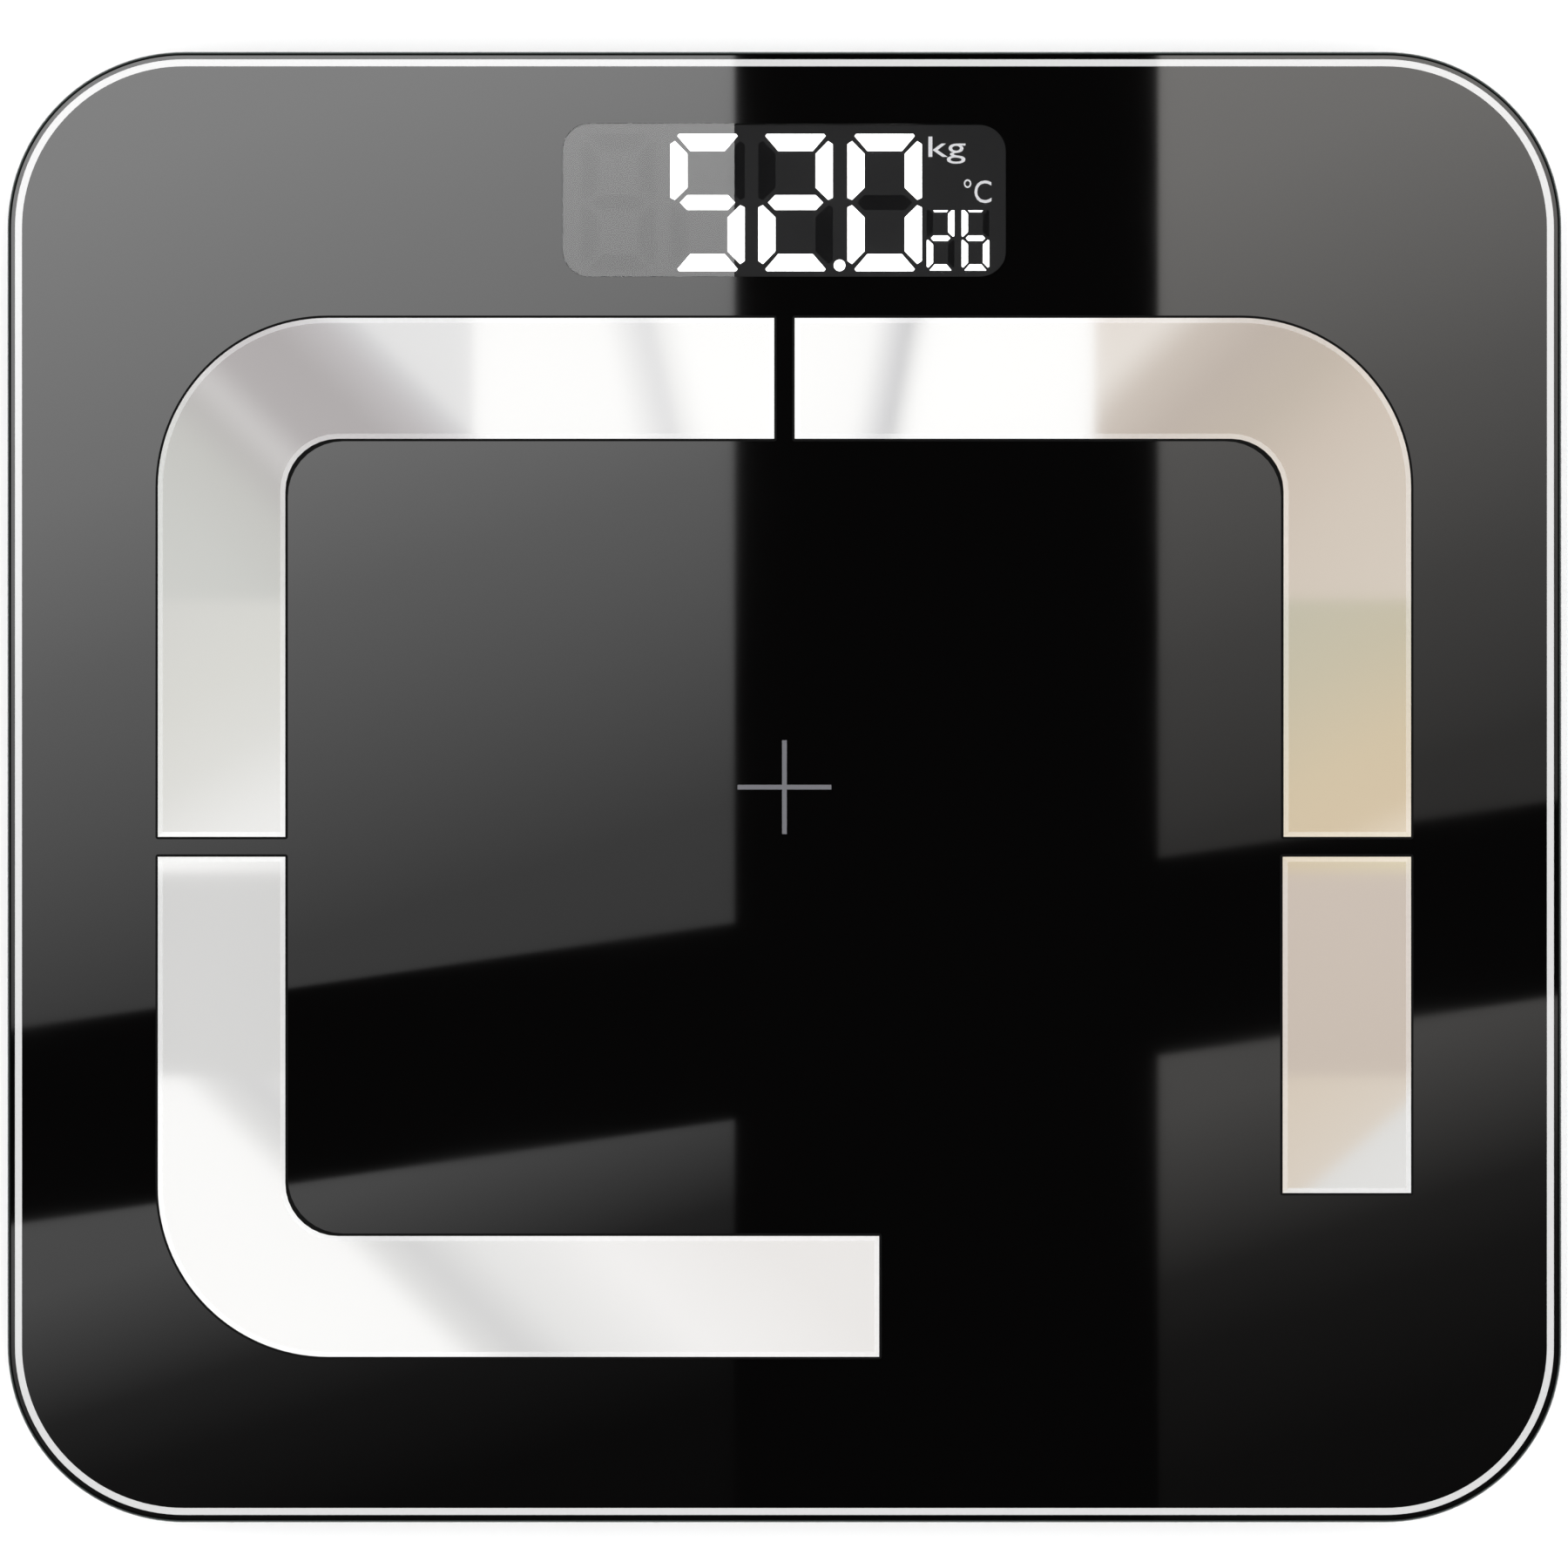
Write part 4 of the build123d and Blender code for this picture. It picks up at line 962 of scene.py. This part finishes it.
class SCALE_OT_stage(bpy.types.Operator):
    """Builds the floor, the light, the studio cards and the camera"""

    bl_idname = "bathroom_scale.stage"
    bl_label = "Stage"

    def execute(self, context):
        settings = context.scene.scale_stage
        self.add_floor(settings)
        self.add_light(context, settings)
        self.add_glass_cards()
        self.add_steel_cards()
        self.add_camera(context, settings)
        return {"FINISHED"}

    def add_floor(self, settings):
        bm = bmesh.new()
        bmesh.ops.create_grid(bm, x_segments=1, y_segments=1, size=6.0)
        mesh = bpy.data.meshes.new("floor")
        bm.to_mesh(mesh)
        bm.free()
        material, tree, shader = new_material("floor")
        tint = mix_colours(tree, noise(tree, object_coords(tree), 3.0), settings.floor,
                           shaded(settings.floor, 1.01))
        tree.links.new(tint, shader.inputs["Base Color"])
        set_inputs(shader, Roughness=0.9, Specular_IOR_Level=0.1)
        mesh.materials.append(material)
        floor = bpy.data.objects.new("floor", mesh)
        bpy.context.scene.collection.objects.link(floor)

    def add_light(self, context, settings):
        world = bpy.data.worlds.new("studio")
        context.scene.world = world
        world.use_nodes = True
        tree = world.node_tree
        background = tree.nodes["Background"]
        coords = tree.nodes.new("ShaderNodeTexCoord")
        split = tree.nodes.new("ShaderNodeSeparateXYZ")
        tree.links.new(coords.outputs["Generated"], split.inputs[0])
        ramp = tree.nodes.new("ShaderNodeValToRGB")
        tree.links.new(split.outputs["Z"], ramp.inputs["Fac"])
        fill_ramp(ramp, [(height, (level, level, level)) for height, level in SKY])
        tree.links.new(ramp.outputs["Color"], background.inputs["Color"])
        background.inputs["Strength"].default_value = settings.studio
        world.cycles.sampling_method = "NONE"
        context.scene.view_settings.view_transform = "Standard"

    def add_glass_cards(self):
        shiny = [o for o in bpy.data.objects if o.name in
                 ("glass_plate", "window_pane", "border_line", "centre_cross")]
        group = receiver_group("glass_receivers", shiny)
        for name, levels, tint, corners in GLASS_CARDS:
            lights = [(place, tuple(level / MIRROR_SHARE * part for part in tint))
                      for place, level in levels]
            material = graded_card_material(name, (-SLANT, 1.0), lights, GLASS_CARD_HEIGHT)
            card(name, corners, GLASS_CARD_HEIGHT, material, group)
        material, _, light = emitter_material("flag", clear=False)
        light.inputs["Color"].default_value = rgba(NEUTRAL)
        light.inputs["Strength"].default_value = FLAG_LIGHT
        area = rectangle(-FLAG_REACH, FLAG_REACH, -FLAG_REACH, FLAG_REACH)
        flag = card("flag", area, FLAG_HEIGHT, material, group)
        flag.visible_transmission = True

    def add_steel_cards(self):
        plates = [bpy.data.objects[name + "_plate"] for name in SEAMS]
        group = receiver_group("steel_receivers", plates)
        for name, direction, stops, areas in STEEL_CARDS:
            lights = [(place, tuple(part / STEEL_SHARE for part in tone(code))) for place, code in stops]
            material = graded_card_material(name, direction, lights, STEEL_CARD_HEIGHT)
            for index, area in enumerate(areas):
                card("%s_%d" % (name, index), rectangle(*area), STEEL_CARD_HEIGHT, material, group)

    def add_camera(self, context, settings):
        data = bpy.data.cameras.new("camera")
        data.lens = settings.lens
        data.sensor_width = SENSOR_WIDTH
        data.clip_start = 0.01
        data.clip_end = 50.0
        camera = bpy.data.objects.new("camera", data)
        context.scene.collection.objects.link(camera)
        camera.location = (settings.view_x, settings.view_y, GLASS_HIGH.z + camera_distance())
        context.scene.camera = camera


class SCALE_PT_panel(bpy.types.Panel):
    """Lists the builders of the scale's pieces"""

    bl_idname = "SCALE_PT_panel"
    bl_label = "Bathroom scale"
    bl_space_type = "VIEW_3D"
    bl_region_type = "UI"
    bl_category = "Scale"

    def draw(self, context):
        for operator in OPERATORS:
            self.layout.operator(operator.bl_idname)


OPERATORS = (SCALE_OT_glass, SCALE_OT_print, SCALE_OT_electrodes, SCALE_OT_display, SCALE_OT_cells,
             SCALE_OT_finishes, SCALE_OT_stage)
SETTINGS = (GlassSettings, ElectrodeSettings, TraySettings, StageSettings)


def register():
    for cls in SETTINGS + OPERATORS + (SCALE_PT_panel,):
        bpy.utils.register_class(cls)
    bpy.types.Scene.scale_glass = PointerProperty(type=GlassSettings)
    bpy.types.Scene.scale_electrodes = PointerProperty(type=ElectrodeSettings)
    bpy.types.Scene.scale_tray = PointerProperty(type=TraySettings)
    bpy.types.Scene.scale_stage = PointerProperty(type=StageSettings)


def unregister():
    for name in ("scale_glass", "scale_electrodes", "scale_tray", "scale_stage"):
        delattr(bpy.types.Scene, name)
    for cls in reversed(SETTINGS + OPERATORS + (SCALE_PT_panel,)):
        bpy.utils.unregister_class(cls)


def main():
    register()
    bpy.ops.bathroom_scale.glass()
    bpy.ops.bathroom_scale.print()
    bpy.ops.bathroom_scale.electrodes()
    bpy.ops.bathroom_scale.display()
    bpy.ops.bathroom_scale.cells()
    bpy.ops.bathroom_scale.finishes()
    bpy.ops.bathroom_scale.stage()


if __name__ == "__main__":
    main()
